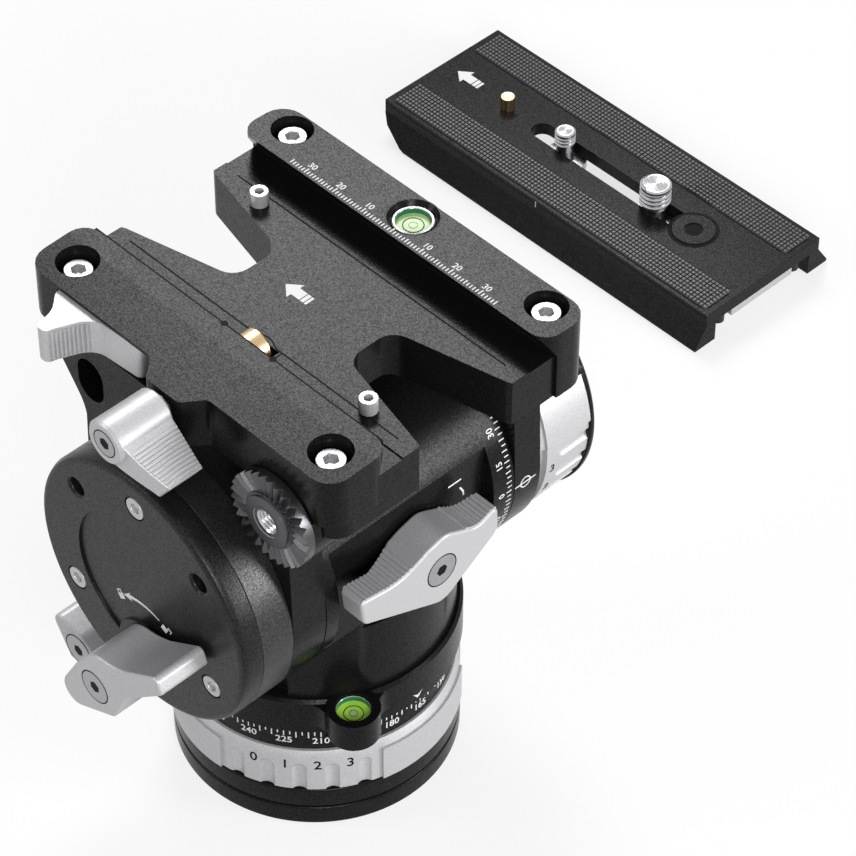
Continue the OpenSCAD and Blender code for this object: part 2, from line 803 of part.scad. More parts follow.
// Outline of the right rail from above
module right_rail_plan() {
    y = platform_half_len;
    polygon(rounded([
        [right_lip, -y, rail_end_r], [platform_right, -y, corner_r], [platform_right, y, corner_r],
        [right_lip, y, rail_end_r]]));
}

// Platform: the channel's floor with its raised pad, and the right rail in one piece
module platform() {
    color(BLACK) difference() {
        union() {
            intersection() {
                translate([0, 0, platform_z]) linear_extrude(platform_t) platform_plan();
                along_y(-far / 2, far / 2) polygon([
                    [left_arm_x, platform_z], [right_root + 1, platform_z], [right_root + 1, floor_z - floor_pad_step],
                    [floor_pad_right, floor_z - floor_pad_step], [floor_pad_right, floor_z], [floor_pad_left, floor_z],
                    [floor_pad_left, floor_z - floor_pad_step], [left_root, floor_z - floor_pad_step], [left_root, rail_z],
                    [left_arm_x, rail_z]]);
            }
            intersection() {
                translate([0, 0, platform_z]) linear_extrude(rail_top - platform_z) right_rail_plan();
                along_y(-far / 2, far / 2) polygon([
                    [right_root, platform_z], [far, platform_z], [far, rail_top], [right_lip, rail_top],
                    [right_root, floor_z]]);
            }
        }
        bar_x(barrel_left - run_gap, barrel_right + run_gap, arch_r);
        translate([0, 0, right_seat]) platform_screw_holes(right_screw_x, rail_top - right_seat);
        for (s = [-1, 1]) bar_z(platform_z + 0.5, rail_z + 1, screw_shank_r + fixed_fit,
            left_screw_x, s * platform_screw_y);
        for (s = [-1, 1]) bar_z(floor_z - pin_shank_h, floor_z + 1, pin_shank_r + fixed_fit,
            channel_x + s * pin_x, s * pin_y);
        bar_z(rail_top - vial_h - 1.2, rail_top + 1, vial_r + fixed_fit, bubble_x, 0);
        bar_z(rail_top - 2.2, rail_top + 1, bubble_recess_r, bubble_x, 0);
        bar_x(left_root - 1, left_lip + plunger_out + 3, plunger_r + 0.8, clamp_y, clamp_z);
    }
}

// Pair of counterbored holes whose seat lies at z = 0
module platform_screw_holes(x, depth) {
    for (s = [-1, 1]) translate([x, s * platform_screw_y, 0]) {
        cylinder(h = depth + 0.01, r1 = screw_head_r + run_gap, r2 = screw_rim_r);
        translate([0, 0, -far / 2]) cylinder(h = far / 2 + 1, r = screw_shank_r + fixed_fit);
    }
}

// Left rail: dovetail, screw seats, the clamp's block and the release lever's slot
module left_rail() {
    y = platform_half_len;
    out = platform_left - block_reach;
    color(BLACK) difference() {
        intersection() {
            translate([0, 0, rail_z]) linear_extrude(left_rail_h) polygon(rounded([
                [left_lip, -y, rail_end_r], [left_lip, y, rail_end_r], [platform_left, y, corner_r],
                [platform_left, clamp_y + block_half + block_run, 2], [out, clamp_y + block_half, 2],
                [out, clamp_y - block_half, 2], [platform_left, clamp_y - block_half - block_run, 2],
                [platform_left, -y, corner_r]]));
            along_y(-far / 2, far / 2) polygon([
                [-far, rail_z], [left_root, rail_z], [left_root, floor_z], [left_lip, rail_top],
                [-far, rail_top]]);
        }
        translate([0, 0, left_seat]) platform_screw_holes(left_screw_x, rail_top - left_seat);
        bar_x(out - 1, left_lip + 1, clamp_screw_r + running_fit, clamp_y, clamp_z);
        bar_x(left_lip + plunger_out - plunger_len - 1, left_lip + 1, plunger_r + running_fit, clamp_y, clamp_z);
        translate([platform_left - 10, slot_back, release_top - release_h - run_gap])
            cube([slot_depth + 10, slot_front - slot_back, release_h + 2 * run_gap]);
        bar_z(rail_z - 1, rail_top - 0.6, release_pin_r + fixed_fit, release_pin_x, release_pin_y);
    }
}

// Four socket screws that hold the platform and the left rail to the arms
module platform_screws() {
    color(STEEL) for (s = [-1, 1]) {
        translate([left_screw_x, s * platform_screw_y, left_seat])
            socket_screw(screw_head_r, screw_head_h, screw_shank_r, left_seat - platform_z - 0.8);
        translate([right_screw_x, s * platform_screw_y, right_seat])
            socket_screw(screw_head_r, screw_head_h, screw_shank_r, right_seat - platform_z + screw_reach - 0.4);
    }
}

// Steel pins that stop the plate from sliding out
module stop_pins() {
    color(STEEL) for (s = [-1, 1]) translate([channel_x + s * pin_x, s * pin_y, floor_z])
        socket_screw(pin_r, pin_h, pin_shank_r, pin_shank_h);
}

// Bubble level in the right rail
module platform_bubble() {
    color(LIME) bar_z(rail_top - vial_h - 1.2, rail_top - 1.2, vial_r, bubble_x, 0);
}

// Toothed rosette for the pan handle
module rosette() {
    hub_r = rosette_r * 0.51;
    face = rosette_x - rosette_t;
    half_tooth = 180 / rosette_teeth;
    color(STEEL) difference() {
        union() {
            bar_x(face, rosette_x, rosette_r, -rosette_back, tilt_z + rosette_up);
            bar_x(face - 0.6, rosette_x, hub_r, -rosette_back, tilt_z + rosette_up);
        }
        bar_x(face - 1, rosette_x + 1, handle_thread_r, -rosette_back, tilt_z + rosette_up);
        translate([face, -rosette_back, tilt_z + rosette_up])
            for (k = [0:rosette_teeth - 1]) rotate([k * 360 / rosette_teeth, 0, 0])
                translate([0, hub_r + 0.6, 0]) rotate([-90, 0, 0]) linear_extrude(rosette_r) polygon([
                    [-0.1, -rosette_r * sin(half_tooth) * 0.85], [tooth_depth, 0],
                    [-0.1, rosette_r * sin(half_tooth) * 0.85]]);
    }
}

// Silver knob that sets the tilt drag
module tilt_drag_knob() {
    color(SILVER) translate([knob_end, 0, tilt_z]) rotate([0, -90, 0]) rotate(tilt_knob_turn)
        difference() {
            drag_ring_solid(tilt_knob_len, barrel_r - pad_rise, axle_r + running_fit, -1, tilt_knob_len * 0.5,
                knob_step);
            bar_z(-1, 1, axle_r + 1);
        }
}

// Black end cap of the tilt drag knob
module tilt_knob_cap() {
    color(BLACK) translate([knob_end, 0, tilt_z]) rotate([0, 90, 0]) rotate_extrude() polygon([
        [0, 0], [barrel_r - 0.2, 0], [barrel_r - 0.2, knob_cap_t - 1], [barrel_r - 1.2, knob_cap_t],
        [0, knob_cap_t]]);
}

// Knob that locks the tilt axis, on the end disc
module tilt_lock_knob() {
    outer = disc_x - tilt_lock_gap - tilt_lock_t;
    color(SILVER) difference() {
        translate([outer, 0, tilt_lock_z]) rotate([tilt_lock_turn, 0, 0])
            along_x(0, tilt_lock_t) lock_outline(lock_wing, lock_tail, lock_hub_w);
        bar_x(outer - 1, disc_x, lever_stud_r + fixed_fit, 0, tilt_lock_z);
        bar_x(outer - 1, outer + cap_h, cap_r + fixed_fit, 0, tilt_lock_z);
    }
}

// Screw of a gull lever, pointing along +Z with its cap's face at z = 0
module lever_screw(length) {
    difference() {
        union() {
            cylinder(h = cap_h, r = cap_r);
            cylinder(h = length, r = lever_stud_r);
        }
        translate([0, 0, -1]) cylinder(h = 2.2, r = hex_r, $fn = 6);
    }
}

// Screw of the tilt lock
module tilt_lock_screw() {
    outer = disc_x - tilt_lock_gap - tilt_lock_t;
    tip = left_arm_x - drum_floor - run_gap - brake_t - run_gap;
    color(STEEL) translate([outer, 0, tilt_lock_z]) rotate([0, 90, 0]) lever_screw(tip - outer);
}

// Lever that locks the pan axis, on the skirt's boss
module pan_lock_lever() {
    outer = pan_lock_boss_x - balance_gap - pan_lock_t;
    color(SILVER) difference() {
        translate([outer, pan_lock_y, pan_lock_z]) rotate([pan_lock_turn, 0, 0])
            along_x(0, pan_lock_t)
                lock_outline(lock_wing * pan_lock_share, pan_lock_tail, lock_hub_w * pan_lock_share);
        bar_x(outer - 1, pan_lock_boss_x, lever_stud_r + fixed_fit, pan_lock_y, pan_lock_z);
        bar_x(outer - 1, outer + cap_h, cap_r + fixed_fit, pan_lock_y, pan_lock_z);
    }
}

// Screw of the pan lock
module pan_lock_screw() {
    outer = pan_lock_boss_x - balance_gap - pan_lock_t;
    color(STEEL) translate([outer, pan_lock_y, pan_lock_z]) rotate([0, 90, 0])
        lever_screw(pan_lock_boss_x + pan_lock_depth - outer);
}

// Lever that sets the counterbalance, at the rear of the barrel
module counterbalance_lever() {
    color(SILVER) difference() {
        translate([balance_x, 0, tilt_z]) along_y(balance_rear, balance_rear + balance_lever_t) balance_outline();
        translate([balance_x - far, balance_relief_y, tilt_z - far / 2])
            cube([far - balance_relief_reach, far, far]);
        bar_y(balance_rear - 1, flat_y, lever_stud_r + fixed_fit, balance_x);
        bar_y(balance_rear - 1, balance_rear + cap_h, cap_r + fixed_fit, balance_x);
    }
}

// Screw of the counterbalance lever
module counterbalance_screw() {
    color(STEEL) translate([balance_x, balance_rear, tilt_z]) rotate([-90, 0, 0])
        lever_screw(-barrel_r + balance_depth - balance_rear);
}

// Lever that clamps the camera plate: a round hub and a wing that leaves its outer end free
module clamp_lever() {
    inner = platform_left - block_reach - clamp_gap;
    outer = inner - clamp_hub_len;
    root = clamp_hub_r - 0.5;
    color(SILVER) difference() {
        translate([outer, clamp_y, clamp_z]) rotate([clamp_turn, 0, 0]) {
            rotate([0, 90, 0]) cylinder(h = clamp_hub_len, r = clamp_hub_r);
            along_x(clamp_wing_inset, clamp_hub_len) polygon(rounded([
                [0, -root, 0], [clamp_wing * 0.55, -root * 0.7, 0], [clamp_wing, -root * 0.55, 1.2],
                [clamp_wing, root * 0.55, 1.2], [clamp_wing * 0.55, root * 0.7, 0], [0, root, 0]]));
        }
        bar_x(outer - 1, inner + 1, clamp_screw_r + fixed_fit, clamp_y, clamp_z);
        bar_x(outer - 1, outer + cap_h, cap_r + fixed_fit, clamp_y, clamp_z);
    }
}

// Screw of the clamp lever
module clamp_screw() {
    outer = platform_left - block_reach - clamp_gap - clamp_hub_len;
    tip = left_lip + plunger_out - plunger_len - stud_gap;
    color(STEEL) translate([outer, clamp_y, clamp_z]) rotate([0, 90, 0]) difference() {
        union() {
            cylinder(h = cap_h, r = cap_r);
            cylinder(h = tip - outer, r = clamp_screw_r);
        }
        translate([0, 0, -1]) cylinder(h = 2.2, r = hex_r, $fn = 6);
    }
}

// Brass plunger that presses on the camera plate's side
module clamp_plunger() {
    from = left_lip + plunger_out - plunger_len;
    color(BRASS) translate([from, clamp_y, clamp_z]) rotate([0, 90, 0]) rotate_extrude() polygon([
        [0, 0], [plunger_r, 0], [plunger_r, plunger_len - 1.5], [plunger_r - 1.5, plunger_len],
        [0, plunger_len]]);
}

// Release lever in the left rail's slot
module release_lever() {
    inner = platform_left + slot_depth - run_gap;
    tip = platform_left - release_reach;
    color(SILVER) difference() {
        translate([0, 0, release_top - release_h]) linear_extrude(release_h) polygon(rounded([
            [inner, release_pin_y - 2.8, 2.6], [platform_left + 0.6, release_pin_y - 2.8, 2],
            [platform_left - 0.4, tab_y - 6.1, 6], [tip + 2, tab_y - tab_w / 2 - 0.4, 6],
            [tip, tab_y - tab_w / 2 - 0.2, 1.6], [tip, tab_y + tab_w / 2 - 0.2, 1.6],
            [tip + 6, tab_y + tab_w / 2 + 0.6, 8], [platform_left - 1, slot_front - 0.5, 3],
            [inner, slot_front - 0.4, 1]]));
        bar_z(release_top - release_h - 1, release_top + 1, release_pin_r + running_fit,
            release_pin_x, release_pin_y);
    }
}

// Pivot pin of the release lever
module release_pivot() {
    color(STEEL) bar_z(rail_z, rail_top - 0.6, release_pin_r, release_pin_x, release_pin_y);
}

// Puts the camera plate's pieces where the plate lies beside the head
module at_plate() {
    translate([plate_x, plate_y, 0]) children();
}

// Camera plate: dovetail body with a hollow underside and a slot
module camera_plate() {
    half = plate_len / 2;
    lip = plate_slope_top;
    color(BLACK) at_plate() difference() {
        along_y(-half, half) polygon([
            [-plate_w / 2, 0], [-plate_hollow_w / 2, 0], [-plate_hollow_w / 2, plate_h - deck_t],
            [plate_hollow_w / 2, plate_h - deck_t], [plate_hollow_w / 2, 0], [plate_w / 2, 0],
            [plate_w / 2, plate_foot_h], [plate_top_w / 2, lip], [plate_top_w / 2, plate_h],
            [-plate_top_w / 2, plate_h], [-plate_top_w / 2, lip], [-plate_w / 2, plate_foot_h]]);
        along_x(-far / 2, far / 2) polygon([
            [half + 1, -1], [half - front_chamfer, -1], [half + 1, front_chamfer]]);
        translate([0, 0, -1]) linear_extrude(plate_h + 2) {
            translate([-slot_w / 2, slot_back_y]) square([slot_w, slot_front_y - slot_back_y]);
            for (y = [slot_back_y, slot_front_y]) translate([0, y]) circle(r = slot_w / 2);
        }
        bar_z(-1, plate_h + 1, video_pin_r + running_fit, 0, video_pin_y);
    }
}

// Knurled rubber strips on the deck
module grip_pads() {
    half = plate_len / 2 - pad_short;
    outer = plate_top_w / 2 - pad_margin;
    color("#2a2a2c") at_plate() for (s = [0, 1]) mirror([s, 0, 0])
        translate([outer - pad_w, -half, plate_h]) cube([pad_w, 2 * half, pad_t]);
}

// Round cap with a hex hole at the slot's rear end
module plate_cap() {
    color(BLACK) at_plate() difference() {
        bar_z(plate_h, plate_h + plate_cap_h, plate_cap_r, 0, cap_y);
        translate([0, cap_y, plate_h - 1]) cylinder(h = 4, r = 2.6, $fn = 6);
    }
}

// Flat key held under the deck's rear end
module plate_key() {
    color(SILVER) at_plate() translate([-key_w / 2, key_inset - plate_len / 2, plate_h - deck_t - key_t])
        cube([key_w, key_len, key_t]);
}

// Stop lugs under the deck's rear end
module plate_stops() {
    color(BLACK) at_plate() for (s = [-1, 1])
        bar_z(plate_h - deck_t - stop_h, plate_h - deck_t, stop_r, s * stop_x, stop_inset - plate_len / 2);
}

// Brass video pin
module video_pin() {
    color(BRASS) at_plate() {
        foot = plate_h - deck_t - video_pin_flange_t;
        bar_z(foot, plate_h + video_pin_h, video_pin_r, 0, video_pin_y);
        bar_z(foot, plate_h - deck_t, video_pin_r + video_pin_flange, 0, video_pin_y);
    }
}

// Camera screw in the slot: collar under the deck, neck in the slot, thread above it
module camera_screw(y, r, rise) {
    neck_r = slot_w / 2 - screw_neck_gap;
    color(STEEL) at_plate() translate([0, y, 0]) {
        bar_z(plate_h - deck_t - screw_head_t, plate_h - deck_t - 0.05, slot_w);
        bar_z(plate_h - deck_t - 0.1, plate_h + 0.4, neck_r);
        bar_z(plate_h + 0.3, plate_h + rise, r);
    }
}

// 1/4 inch camera screw
module quarter_screw() {
    camera_screw(quarter_y, quarter_r, quarter_rise);
}

// 3/8 inch camera screw
module three_eighth_screw() {
    camera_screw(three_eighth_y, three_eighth_r, three_eighth_rise);
}

base_plate();
base_screws();
tripod_bush();
base_housing();
pan_drag_unit();
pan_scale_ring();
pan_shaft();
pan_nut();
thrust_washer();
pan_drag_ring();
pan_body();
pan_bubble();
tilt_axle();
brake_disc();
barrel_flange();
tilt_drag_unit();
counterbalance_spring();
left_arm();
right_arm();
tilt_bushes();
left_drum();
end_disc();
end_disc_screws();
platform();
left_rail();
platform_screws();
stop_pins();
platform_bubble();
rosette();
tilt_drag_knob();
tilt_knob_cap();
tilt_lock_knob();
tilt_lock_screw();
pan_lock_lever();
pan_lock_screw();
counterbalance_lever();
counterbalance_screw();
clamp_lever();
clamp_screw();
clamp_plunger();
release_lever();
release_pivot();
camera_plate();
grip_pads();
plate_cap();
plate_key();
plate_stops();
video_pin();
quarter_screw();
three_eighth_screw();
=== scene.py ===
"""Looks of a fluid video head: finishes, engraved marks and fine shapes around its solid frame."""

from __future__ import annotations

import json
import logging
import math
from dataclasses import dataclass, field
from enum import Enum

import bmesh
import bpy
from mathutils import Matrix, Vector
from mathutils.bvhtree import BVHTree

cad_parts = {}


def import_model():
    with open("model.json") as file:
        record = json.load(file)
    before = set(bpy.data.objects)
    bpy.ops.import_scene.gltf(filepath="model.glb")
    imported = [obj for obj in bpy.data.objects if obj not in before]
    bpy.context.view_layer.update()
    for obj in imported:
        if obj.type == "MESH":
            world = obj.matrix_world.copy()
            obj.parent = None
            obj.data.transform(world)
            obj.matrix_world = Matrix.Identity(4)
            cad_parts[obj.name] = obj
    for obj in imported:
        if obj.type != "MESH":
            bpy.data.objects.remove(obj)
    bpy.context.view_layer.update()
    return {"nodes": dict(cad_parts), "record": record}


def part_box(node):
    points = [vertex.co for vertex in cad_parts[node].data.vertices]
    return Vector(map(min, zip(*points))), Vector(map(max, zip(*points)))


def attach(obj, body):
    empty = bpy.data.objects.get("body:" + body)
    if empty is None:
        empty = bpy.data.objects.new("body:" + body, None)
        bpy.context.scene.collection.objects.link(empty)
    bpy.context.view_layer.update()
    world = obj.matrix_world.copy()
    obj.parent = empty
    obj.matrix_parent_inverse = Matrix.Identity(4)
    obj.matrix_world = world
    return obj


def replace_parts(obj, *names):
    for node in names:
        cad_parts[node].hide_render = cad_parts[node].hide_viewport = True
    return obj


LOG = logging.getLogger("video_head")
Mesh = bmesh.types.BMesh
Point = tuple[float, float]
Place = tuple[float, float, float]
Outline = list[Point]
Values = dict[str, float | tuple[float, ...]]
Link = tuple[bpy.types.Node, int | str, bpy.types.Node, int | str]

# Metres in one millimetre; all sizes below are in millimetres
MM = 0.001
TILT_Z = 89.1
RAIL_TOP = 153.0
FLOOR_Z = 146.0
CHANNEL_X = 2.0
SKIRT_R = 38.0
PAN_RING_R = 37.4
TILT_KNOB_R = 36.2
TILT_LOCK_Z = 67.2
CLAMP_Y, CLAMP_Z = -2.4, 147.2
PAN_LEVEL = (-20.04, -36.0)
RAIL_LEVEL = (35.0, 0.0)
PLATE_X, PLATE_Y, PLATE_TOP = 200.2, 91.8, 11.7
PLATE_HALF = 24.2

# Degrees between the figures of a drag dial, and over which an edge is shaded hard or broken
FIGURE_STEP = 12.8
HARD_EDGE = 32.0
SHARP_EDGE = 28.0

# Directions of a flat shape's X and Y when it is laid on the head's top, rear or side
TOP = ((1, 0, 0), (0, 1, 0))
REAR = ((1, 0, 0), (0, 0, 1))
SIDE = ((0, 1, 0), (0, 0, 1))


def polar(r: float, degrees: float) -> Point:
    """Point at a radius and an angle."""
    t = math.radians(degrees)
    return r * math.cos(t), r * math.sin(t)


def turned_side(degrees: float) -> tuple[Place, Place]:
    """Directions on the head's side, turned by an angle."""
    c, s = polar(1.0, degrees)
    return (0, c, s), (0, -s, c)


def fill(node: bpy.types.Node, values: Values) -> bpy.types.Node:
    """Set constants on a node's sockets.

    Args:
        node: Node to set.
        values: Constants by the name of their socket.

    Returns:
        The same node.
    """
    for socket, value in values.items():
        node.inputs[socket].default_value = value
    return node


def wire(tree: bpy.types.NodeTree, *links: Link) -> None:
    """Link outputs of nodes to inputs of others."""
    for start, output, end, socket in links:
        tree.links.new(start.outputs[output], end.inputs[socket])


def add_node(tree: bpy.types.NodeTree, kind: str, values: Values | None = None) -> bpy.types.Node:
    """Add a shader node and set its constants."""
    return fill(tree.nodes.new("ShaderNode" + kind), values or {})


class Slot(Enum):
    """Material slots of the record."""

    BLACK = "black_aluminium"
    SILVER = "silver_aluminium"
    STEEL = "steel"
    BRASS = "brass"
    VIAL = "vial"
    RUBBER = "grip_rubber"
    PLASTIC = "black_plastic"


class Round(Enum):
    """Axis of a round surface that marks are wrapped on."""

    PAN = "pan"
    TILT = "tilt"


@dataclass(frozen=True)
class Finish:
    """Metal, plastic or paint with a fine grain.

    Attributes:
        name: Name of the material.
        color: Base colour, linear.
        metallic: Metallic value.
        roughness: Mean roughness.
        grain: Size of the surface grain in millimetres.
        bump: Height of the grain, as bump strength.
        spread: How far roughness, shine and colour wander.
        coat: Clear coat weight.
        shine: Level of the mirror-like share on plain surfaces.
        glow: Painted light: emission that a dyed liquid gives off, so that it looks lit though it is no lamp.
        slot: Slot of the record that its pieces would belong to; not used.
    """

    name: str
    color: tuple[float, float, float]
    metallic: float = 0.0
    roughness: float = 0.4
    grain: float = 0.3
    bump: float = 0.15
    spread: float = 0.12
    coat: float = 0.0
    shine: float = 0.5
    glow: float = 0.0
    slot: Slot = Slot.BLACK

    def wander(self, tree: bpy.types.NodeTree, mean: float, share: float) -> bpy.types.Node:
        """Add a range about a mean, as wide as a share of the spread."""
        reach = mean * share * self.spread
        return add_node(tree, "MapRange", {"To Min": mean - reach, "To Max": mean + reach})

    def build(self) -> bpy.types.Material:
        """Make the node material.

        Returns:
            The material.
        """
        material = bpy.data.materials.new(self.name)
        material.use_nodes = True
        tree = material.node_tree
        shader = fill(tree.nodes["Principled BSDF"], {
            "Metallic": self.metallic, "Coat Weight": self.coat, "Coat Roughness": 0.1,
            "Emission Color": (*self.color, 1), "Emission Strength": self.glow})
        place = add_node(tree, "TexCoord")
        fine = add_node(tree, "TexNoise", {"Scale": 1.0 / (self.grain * MM), "Detail": 2.0})
        sharper = add_node(tree, "MapRange", {"From Min": 0.36, "From Max": 0.64})
        low = [c * (1 - self.spread) for c in self.color]
        high = [min(1.0, c * (1 + self.spread)) for c in self.color]
        tint = add_node(tree, "Mix")
        tint.data_type = "RGBA"
        fill(tint, {"A": (*low, 1), "B": (*high, 1)})
        rough = self.wander(tree, self.roughness, 0.6)
        specks = add_node(tree, "TexVoronoi", {"Scale": 1.0 / (1.1 * self.grain * MM)})
        glint = self.wander(tree, self.shine, 1.6)
        bump = add_node(tree, "Bump", {"Strength": self.bump, "Distance": 0.2 * self.grain * MM})
        wire(
            tree, (place, "Object", fine, "Vector"), (fine, "Fac", sharper, "Value"),
            (sharper, "Result", tint, "Factor"), (tint, "Result", shader, "Base Color"),
            (sharper, "Result", rough, "Value"), (rough, "Result", shader, "Roughness"),
            (place, "Object", specks, "Vector"), (specks, "Color", glint, "Value"),
            (glint, "Result", shader, "Specular IOR Level"), (fine, "Fac", bump, "Height"),
            (bump, "Normal", shader, "Normal"))
        return material


BLACK = Finish("black anodised", (0.006, 0.006, 0.0065), 0.0, 0.25, 0.28, 0.3, 0.4, shine=0.09)
SHEEN = Finish("black anodised sheen", (0.008, 0.008, 0.009), 0.0, 0.38, 0.28, 0.5, 0.4, shine=0.45)
DISC = Finish("black anodised disc", (0.006, 0.006, 0.0065), 0.0, 0.36, 0.28, 0.4, 0.4, shine=0.2)
SILVER = Finish("silver anodised", (0.5, 0.5, 0.515), 0.3, 0.42, 0.3, 0.3, 0.12, slot=Slot.SILVER)
BRIGHT = Finish("bright zinc", (0.5, 0.5, 0.515), 0.45, 0.34, bump=0.1, spread=0.1, slot=Slot.STEEL)
SATIN = Finish("satin steel", (0.34, 0.34, 0.35), 0.9, 0.4, bump=0.15, spread=0.1, slot=Slot.STEEL)
STEEL = Finish("bright steel", (0.45, 0.45, 0.465), 1.0, 0.26, bump=0.1, spread=0.1, slot=Slot.STEEL)
DARK_STEEL = Finish("dark steel", (0.09, 0.09, 0.095), 1.0, 0.32, bump=0.15, slot=Slot.STEEL)
BRASS = Finish("turned brass", (0.58, 0.42, 0.24), 1.0, 0.3, bump=0.15, spread=0.1, slot=Slot.BRASS)
# The lime liquid's glow is painted light: its emission brightens the liquid as if it were lit.
LIME = Finish("lime liquid", (0.4, 0.72, 0.08), 0.0, 0.3, 0.8, 0.0, 0.04, shine=0.3, glow=0.14)
PALE_LIME = Finish("pale liquid", (0.58, 0.78, 0.38), 0.0, 0.3, 0.8, 0.0, 0.04, shine=0.3)
# This dark green is painted shade: it colours the vial's wall and the bubble's edge, which look dark through
# the glass.
VIAL_SHADE_GREEN = Finish("vial wall shade", (0.02, 0.16, 0.07), 0.0, 0.2, 0.8, 0.0, 0.1, shine=0.3)
CLEAR_RIM = Finish("vial rim", (0.24, 0.3, 0.26), 0.0, 0.1, 0.8, 0.0, 0.05, coat=0.6)
RUBBER = Finish("black rubber", (0.012, 0.012, 0.013), 0.0, 0.34, bump=0.2, shine=0.5, slot=Slot.RUBBER)
PLASTIC = Finish("black plastic", (0.02, 0.02, 0.02), 0.0, 0.42, bump=0.2, shine=0.2)
WHITE = Finish("white fill", (0.8, 0.8, 0.8), 0.0, 0.55, bump=0.05, spread=0.03)
INK = Finish("black fill", (0.004, 0.004, 0.004), 0.0, 0.5, bump=0.05, shine=0.05)


class Forms:
    """Shapes in millimetres, made as bmeshes."""

    @staticmethod
    def join(bm: Mesh, other: Mesh) -> None:
        """Move all of one bmesh into another.

        Args:
            bm: Shape that takes the other in.
            other: Shape that is added; freed here.
        """
        mesh = bpy.data.meshes.new("join")
        other.to_mesh(mesh)
        other.free()
        bm.from_mesh(mesh)
        bpy.data.meshes.remove(mesh)

    @staticmethod
    def move(bm: Mesh, by: Place | Vector) -> None:
        """Shift a whole shape."""
        bmesh.ops.translate(bm, verts=bm.verts, vec=by)

    @staticmethod
    def cut(bm: Mesh, place: Place, normal: Place, clear: bool = False) -> None:
        """Cut a shape along a plane.

        Args:
            bm: Shape to cut.
            place: Point on the plane.
            normal: Direction across the plane.
            clear: Whether the far side is taken off and the opening closed.
        """
        geometry = bm.verts[:] + bm.edges[:] + bm.faces[:]
        made = bmesh.ops.bisect_plane(
            bm, geom=geometry, dist=1e-4, plane_co=place, plane_no=normal, clear_outer=clear)
        if clear:
            rim = [e for e in made["geom_cut"] if isinstance(e, bmesh.types.BMEdge)]
            bmesh.ops.holes_fill(bm, edges=rim)

    @staticmethod
    def bar(bm: Mesh, start: Vector, end: Vector, r: float, sides: int = 24) -> None:
        """Add a round bar between two points.

        Args:
            bm: Shape to add to.
            start: Centre of the first end.
            end: Centre of the second end.
            r: Radius.
            sides: Number of sides.
        """
        span = end - start
        turn = span.to_track_quat("Z", "Y").to_matrix().to_4x4()
        bmesh.ops.create_cone(
            bm, cap_ends=True, segments=sides, radius1=r, radius2=r, depth=span.length,
            matrix=Matrix.Translation((start + end) / 2) @ turn)

    @staticmethod
    def block(bm: Mesh, low: Place, high: Place) -> None:
        """Add a square block.

        Args:
            bm: Shape to add to.
            low: Corner with the least values.
            high: Corner with the greatest values.
        """
        middle = [(a + b) / 2 for a, b in zip(low, high)]
        size = [b - a for a, b in zip(low, high)]
        bmesh.ops.create_cube(bm, size=1.0, matrix=Matrix.Translation(middle) @ Matrix.Diagonal((*size, 1)))

    @staticmethod
    def plate(bm: Mesh, outline: Outline, thick: float) -> None:
        """Add a flat plate with an outline in X and Y, centred on z = 0.

        Args:
            bm: Shape to add to.
            outline: Corners in order.
            thick: Thickness.
        """
        face = bm.faces.new([bm.verts.new((x, y, -thick / 2)) for x, y in outline])
        grown = bmesh.ops.extrude_face_region(bm, geom=[face])
        top = [v for v in grown["geom"] if isinstance(v, bmesh.types.BMVert)]
        bmesh.ops.translate(bm, verts=top, vec=(0, 0, thick))

    @staticmethod
    def slab(outline: Outline, thick: float, edge: float) -> Mesh:
        """Plate with rounded edges, centred on z = 0.

        Args:
            outline: Points of its outline in X and Y.
            thick: Thickness.
            edge: Radius of its edges.

        Returns:
            The new shape.
        """
        steps = 3
        points = [Vector(p) for p in outline]
        ahead, behind = points[1:] + points[:1], points[-1:] + points[:-1]
        area = sum(a.x * b.y - b.x * a.y for a, b in zip(points, ahead))
        sign = math.copysign(1, area)
        inward = [Vector((a.y - c.y, c.x - a.x)).normalized() * sign for a, c in zip(behind, ahead)]
        levels = []
        for k in range(steps + 1):
            t = math.pi / 2 * k / steps
            levels.append((edge * (1 - math.sin(t)), edge * (1 - math.cos(t)) - thick / 2))
        levels += [(inset, -z) for inset, z in reversed(levels)]
        bm = bmesh.new()
        rings, loops = [], []
        for inset, z in levels:
            ring = [bm.verts.new((*(q + n * inset), z)) for q, n in zip(points, inward)]
            rings.append(ring)
            loops.append([bm.edges.new(pair) for pair in zip(ring, ring[1:] + ring[:1])])
        for lower, upper in zip(loops, loops[1:]):
            bmesh.ops.bridge_loops(bm, edges=lower + upper)
        for ring in (rings[0], rings[-1]):
            bm.faces.new(ring)
        return bm

    @staticmethod
    def rounded(points: list[tuple[float, float, float]], steps: int = 12) -> Outline:
        """Closed outline with rounded corners.

        Args:
            points: Corners in order, each with its radius.
            steps: Steps in one rounding.

        Returns:
            The outline's points.
        """
        outline = []
        for i, (x, y, r) in enumerate(points):
            here = Vector((x, y))
            a = (Vector(points[i - 1][:2]) - here).normalized()
            b = (Vector(points[(i + 1) % len(points)][:2]) - here).normalized()
            half = a.angle(b) / 2
            middle = here + (a + b).normalized() * r / math.sin(half)
            start = here + a * r / math.tan(half) - middle
            turn = math.copysign(math.pi - 2 * half, a.y * b.x - a.x * b.y)
            for k in range(steps + 1):
                outline.append(tuple(middle + Matrix.Rotation(turn * k / steps, 2) @ start))
        return outline

